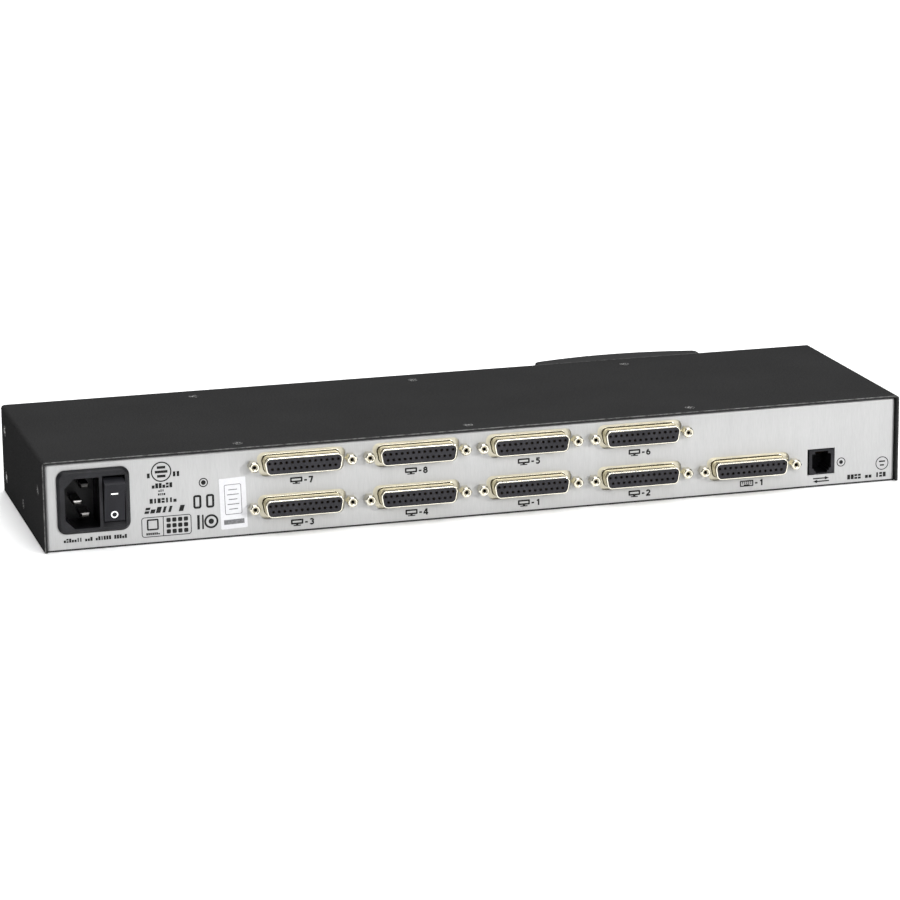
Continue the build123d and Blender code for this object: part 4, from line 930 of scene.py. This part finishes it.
def threaded_cups(name, places, material):
    """One mesh of threaded cups, each turned about an axis along Y."""
    section = thread_profile()
    built = bmesh.new()
    for x, z in places:
        rings = []
        for radius, depth in section:
            y = PANEL_Y + POST_LENGTH - depth
            if radius == 0.0:
                rings.append([built.verts.new((x * MM, y * MM, z * MM))])
                continue
            rings.append([
                built.verts.new((
                    (x + radius * math.cos(2 * math.pi * k / THREAD_SIDES)) * MM,
                    y * MM,
                    (z + radius * math.sin(2 * math.pi * k / THREAD_SIDES)) * MM,
                ))
                for k in range(THREAD_SIDES)
            ])
        for first, second in zip(rings, rings[1:] + rings[:1]):
            if len(first) == 1 and len(second) == 1:
                continue
            for k in range(THREAD_SIDES):
                following = (k + 1) % THREAD_SIDES
                corners = [first[k % len(first)], first[following % len(first)]]
                corners += [second[following % len(second)], second[k % len(second)]]
                built.faces.new(list(dict.fromkeys(corners)))
    bmesh.ops.recalc_face_normals(built, faces=built.faces[:])
    mesh = bpy.data.meshes.new(name)
    built.to_mesh(mesh)
    built.free()
    mesh.materials.append(material)
    thing = bpy.data.objects.new(name, mesh)
    bpy.context.scene.collection.objects.link(thing)
    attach(thing, "case")


port_places = [(PORT_COLUMNS[column], UPPER_ROW) for column in UPPER_PORTS.values()]
port_places += [(PORT_COLUMNS[column], LOWER_ROW) for column in range(len(PORT_COLUMNS))]
threaded_cups(
    "post_threads",
    [(x + side * POST_SPACING / 2, z) for x, z in port_places for side in (-1, 1)],
    thread_metal(),
)

# ---------------------------------------------------------------------------------------------
# Marks on the rocker: a line on its upper end and a ring on its lower end
# ---------------------------------------------------------------------------------------------

RIDGE_OUT = ROCKER_RADIUS * math.cos(ROCKER_RIDGE)
RIDGE_UP = ROCKER_RADIUS * math.sin(ROCKER_RIDGE)
FACE_RADIUS = (RIDGE_UP**2 + ROCKER_DISH**2) / (2 * ROCKER_DISH)
FACE_CENTRE = RIDGE_OUT - ROCKER_DISH + FACE_RADIUS
MARK_SINK = 0.02
ROCKER_MARKS = {
    "rocker_line": bar(-0.1, 4.4, 3.3, 0.72),
    "rocker_ring": ring(-0.1, -6.1, 1.7, 0.6),
}


def on_rocker(u, v, t):
    """A point on the rocker's dished face at rest, v along the face and t out of it."""
    out = FACE_CENTRE - math.sqrt(FACE_RADIUS**2 - v**2) + t
    y = ROCKER_PIVOT[0] + out * math.cos(ROCKER_REST) + v * math.sin(ROCKER_REST)
    z = ROCKER_PIVOT[1] - out * math.sin(ROCKER_REST) + v * math.cos(ROCKER_REST)
    return (ROCKER_X - u, y, z)


for name, shapes in ROCKER_MARKS.items():
    solid_print(name, shapes, on_rocker, INK_THICKNESS, WHITE, "rocker", sink=MARK_SINK)

# ---------------------------------------------------------------------------------------------
# Printing on the pod's curved front face
# ---------------------------------------------------------------------------------------------


def on_pod(x, z, stand=0.0):
    """A place on the pod's face; seen from the front, u runs to +X."""
    def place(u, v, t):
        distance = x + u - POD_X
        reach = POD_RADIUS + stand + t
        return (x + u, POD_CENTRE_Y - math.sqrt(reach**2 - distance**2), z + v)
    return place


led_steps = [(k - (LED_COUNT - 1) / 2) * LED_PITCH for k in range(LED_COUNT)]
for k, step in enumerate(led_steps):
    solid_print(
        f"lamp_{k + 1}_label", digit_shapes(str(k + 1), LAMP_DIGIT_HEIGHT),
        on_pod(POD_X + step, LED_Z - LAMP_LABEL_DROP), INK_THICKNESS, WHITE, "case",
    )
power_x = POD_X + led_steps[-1] + POWER_LED_STEP
solid_print(
    "power_lamp_label", ring(0.0, 0.0, 0.95, 0.28, 24) + bar(0.0, 0.55, 0.3, 1.1),
    on_pod(power_x, LED_Z - LAMP_LABEL_DROP), INK_THICKNESS, WHITE, "case",
)


def strip(width, height, stroke):
    """A long frame in short pieces, so that it follows a curved face."""
    pieces = 24
    shapes = []
    for k in range(pieces):
        u = -width / 2 + (k + 0.5) * width / pieces
        shapes += bar(u, height / 2, width / pieces, stroke)
        shapes += bar(u, -height / 2, width / pieces, stroke)
    for side in (-1, 1):
        shapes += bar(side * width / 2, 0.0, stroke, height + stroke)
    return shapes


solid_print(
    "lamp_frame", strip(66.0, 10.4, 0.3), on_pod(POD_X + LAMP_FRAME_SHIFT, LED_Z - LAMP_FRAME_DROP),
    INK_THICKNESS, WHITE, "case",
)


def arrow(direction):
    """A solid triangle that points left or right."""
    tip = [(-direction * 1.1, 1.5), (-direction * 1.1, -1.5), (direction * 1.5, 0.0)]
    return [tip if direction < 0 else tip[::-1]]


KEY_MARKS = {
    "previous": (-1, arrow(-1)),
    "scan": (0, ring(0.0, 0.0, 1.5, 0.45, 32)),
    "next": (1, arrow(1)),
}
for name, (side, shapes) in KEY_MARKS.items():
    solid_print(
        f"{name}_mark", shapes, on_pod(POD_X + side * KEY_STEP, KEY_Z, KEY_STAND),
        INK_THICKNESS, WHITE, f"{name}_key",
    )

# ---------------------------------------------------------------------------------------------
# Floor, light and camera
# ---------------------------------------------------------------------------------------------

FLOOR_SIZE = 14.0
FLOOR_DROP = 0.0001
floor_mesh = bpy.data.meshes.new("studio_floor")
half = FLOOR_SIZE / 2
corners = [(side_x * half, side_y * half) for side_x, side_y in ((-1, -1), (1, -1), (1, 1), (-1, 1))]
floor_mesh.from_pydata([(x, y, -FLOOR_DROP) for x, y in corners], [], [(0, 1, 2, 3)])
floor_mesh.materials.append(floor_material())
floor = bpy.data.objects.new("studio_floor", floor_mesh)
bpy.context.scene.collection.objects.link(floor)

# The world lights the object softly from above, and the camera sees it plain white.
scene = bpy.context.scene
SKY_LOW, SKY_HIGH = 0.04, 0.25
SKY_FULL_HEIGHT = 0.8
OVERHEAD_POWER = 3.3
OVERHEAD_SPREAD = 60.0
OVERHEAD_AIM = (0.0, 0.1, -1.0)
world = bpy.data.worlds.new("studio")
world.use_nodes = True
world_tree = world.node_tree
surround = world_tree.nodes["Background"]
backdrop = world_tree.nodes.new("ShaderNodeBackground")
backdrop.inputs["Color"].default_value = (1.0, 1.0, 1.0, 1.0)
ray = world_tree.nodes.new("ShaderNodeLightPath")
pick = world_tree.nodes.new("ShaderNodeMixShader")
sky_place = world_tree.nodes.new("ShaderNodeTexCoord")
sky_split = world_tree.nodes.new("ShaderNodeSeparateXYZ")
sky_ramp = world_tree.nodes.new("ShaderNodeValToRGB")
sky_ramp.color_ramp.elements[0].position = 0.0
sky_ramp.color_ramp.elements[0].color = (SKY_LOW, SKY_LOW, SKY_LOW, 1.0)
sky_ramp.color_ramp.elements[1].position = SKY_FULL_HEIGHT
sky_ramp.color_ramp.elements[1].color = (SKY_HIGH, SKY_HIGH, SKY_HIGH, 1.0)
for source, target in (
    (sky_place.outputs["Generated"], sky_split.inputs["Vector"]),
    (sky_split.outputs["Z"], sky_ramp.inputs["Fac"]),
    (sky_ramp.outputs["Color"], surround.inputs["Color"]),
    (ray.outputs["Is Camera Ray"], pick.inputs["Fac"]),
    (surround.outputs["Background"], pick.inputs[1]),
    (backdrop.outputs["Background"], pick.inputs[2]),
    (pick.outputs["Shader"], world_tree.nodes["World Output"].inputs["Surface"]),
):
    world_tree.links.new(source, target)
scene.world = world
scene.view_settings.view_transform = "Standard"


def softbox(name, place, target, width, height, power, colour=(1.0, 1.0, 1.0)):
    """A rectangular lamp at a place, turned to a target; size in metres and power in watts."""
    light = bpy.data.lights.new(name, "AREA")
    light.shape = "RECTANGLE"
    light.size = width
    light.size_y = height
    light.energy = power
    light.color = colour
    thing = bpy.data.objects.new(name, light)
    thing.location = place
    thing.rotation_mode = "QUATERNION"
    thing.rotation_quaternion = (Vector(target) - Vector(place)).to_track_quat("-Z", "Y")
    scene.collection.objects.link(thing)


WARM, COOL = (1.0, 0.995, 0.985), (0.975, 0.99, 1.0)
softbox("key_box", (-2.3, 3.0, 1.2), (0.0, 0.0, 0.02), 0.45, 0.45, 92.0, WARM)
softbox("glint_box", (-0.64, 2.24, 0.62), (0.0, 0.06, 0.02), 1.1, 0.28, 1.1)
softbox("fill_box", (-0.1, 2.2, 1.4), (0.0, 0.0, 0.02), 1.4, 0.8, 31.0, COOL)
softbox("front_box", (-0.5, -1.5, 0.8), (-0.1, 0.0, 0.02), 0.9, 0.7, 8.0)

overhead = bpy.data.lights.new("overhead", "SUN")
overhead.energy = OVERHEAD_POWER
overhead.angle = math.radians(OVERHEAD_SPREAD)
overhead_lamp = bpy.data.objects.new("overhead", overhead)
overhead_lamp.rotation_mode = "QUATERNION"
overhead_lamp.rotation_quaternion = Vector(OVERHEAD_AIM).to_track_quat("-Z", "Y")
scene.collection.objects.link(overhead_lamp)

CAMERA_PLACE = (0.461906, 1.62683, 0.451169)
CAMERA_AZIMUTH = math.radians(164.112)
CAMERA_ELEVATION = math.radians(14.405)
CAMERA_ROLL = math.radians(-0.562)
CAMERA_LENS, CAMERA_SENSOR = 141.47, 36.0

camera_data = bpy.data.cameras.new("camera")
camera_data.sensor_width = CAMERA_SENSOR
camera_data.lens = CAMERA_LENS
camera_data.clip_start = 0.05
camera_data.clip_end = 50.0
camera = bpy.data.objects.new("camera", camera_data)
back = Vector((
    math.sin(CAMERA_AZIMUTH) * math.cos(CAMERA_ELEVATION),
    -math.cos(CAMERA_AZIMUTH) * math.cos(CAMERA_ELEVATION),
    math.sin(CAMERA_ELEVATION),
))
level = Vector((math.cos(CAMERA_AZIMUTH), math.sin(CAMERA_AZIMUTH), 0.0))
upright = back.cross(level)
right = level * math.cos(CAMERA_ROLL) + upright * math.sin(CAMERA_ROLL)
up = upright * math.cos(CAMERA_ROLL) - level * math.sin(CAMERA_ROLL)
turn = Matrix((right, up, back)).transposed().to_4x4()
camera.matrix_world = Matrix.Translation(CAMERA_PLACE) @ turn
scene.collection.objects.link(camera)
scene.camera = camera
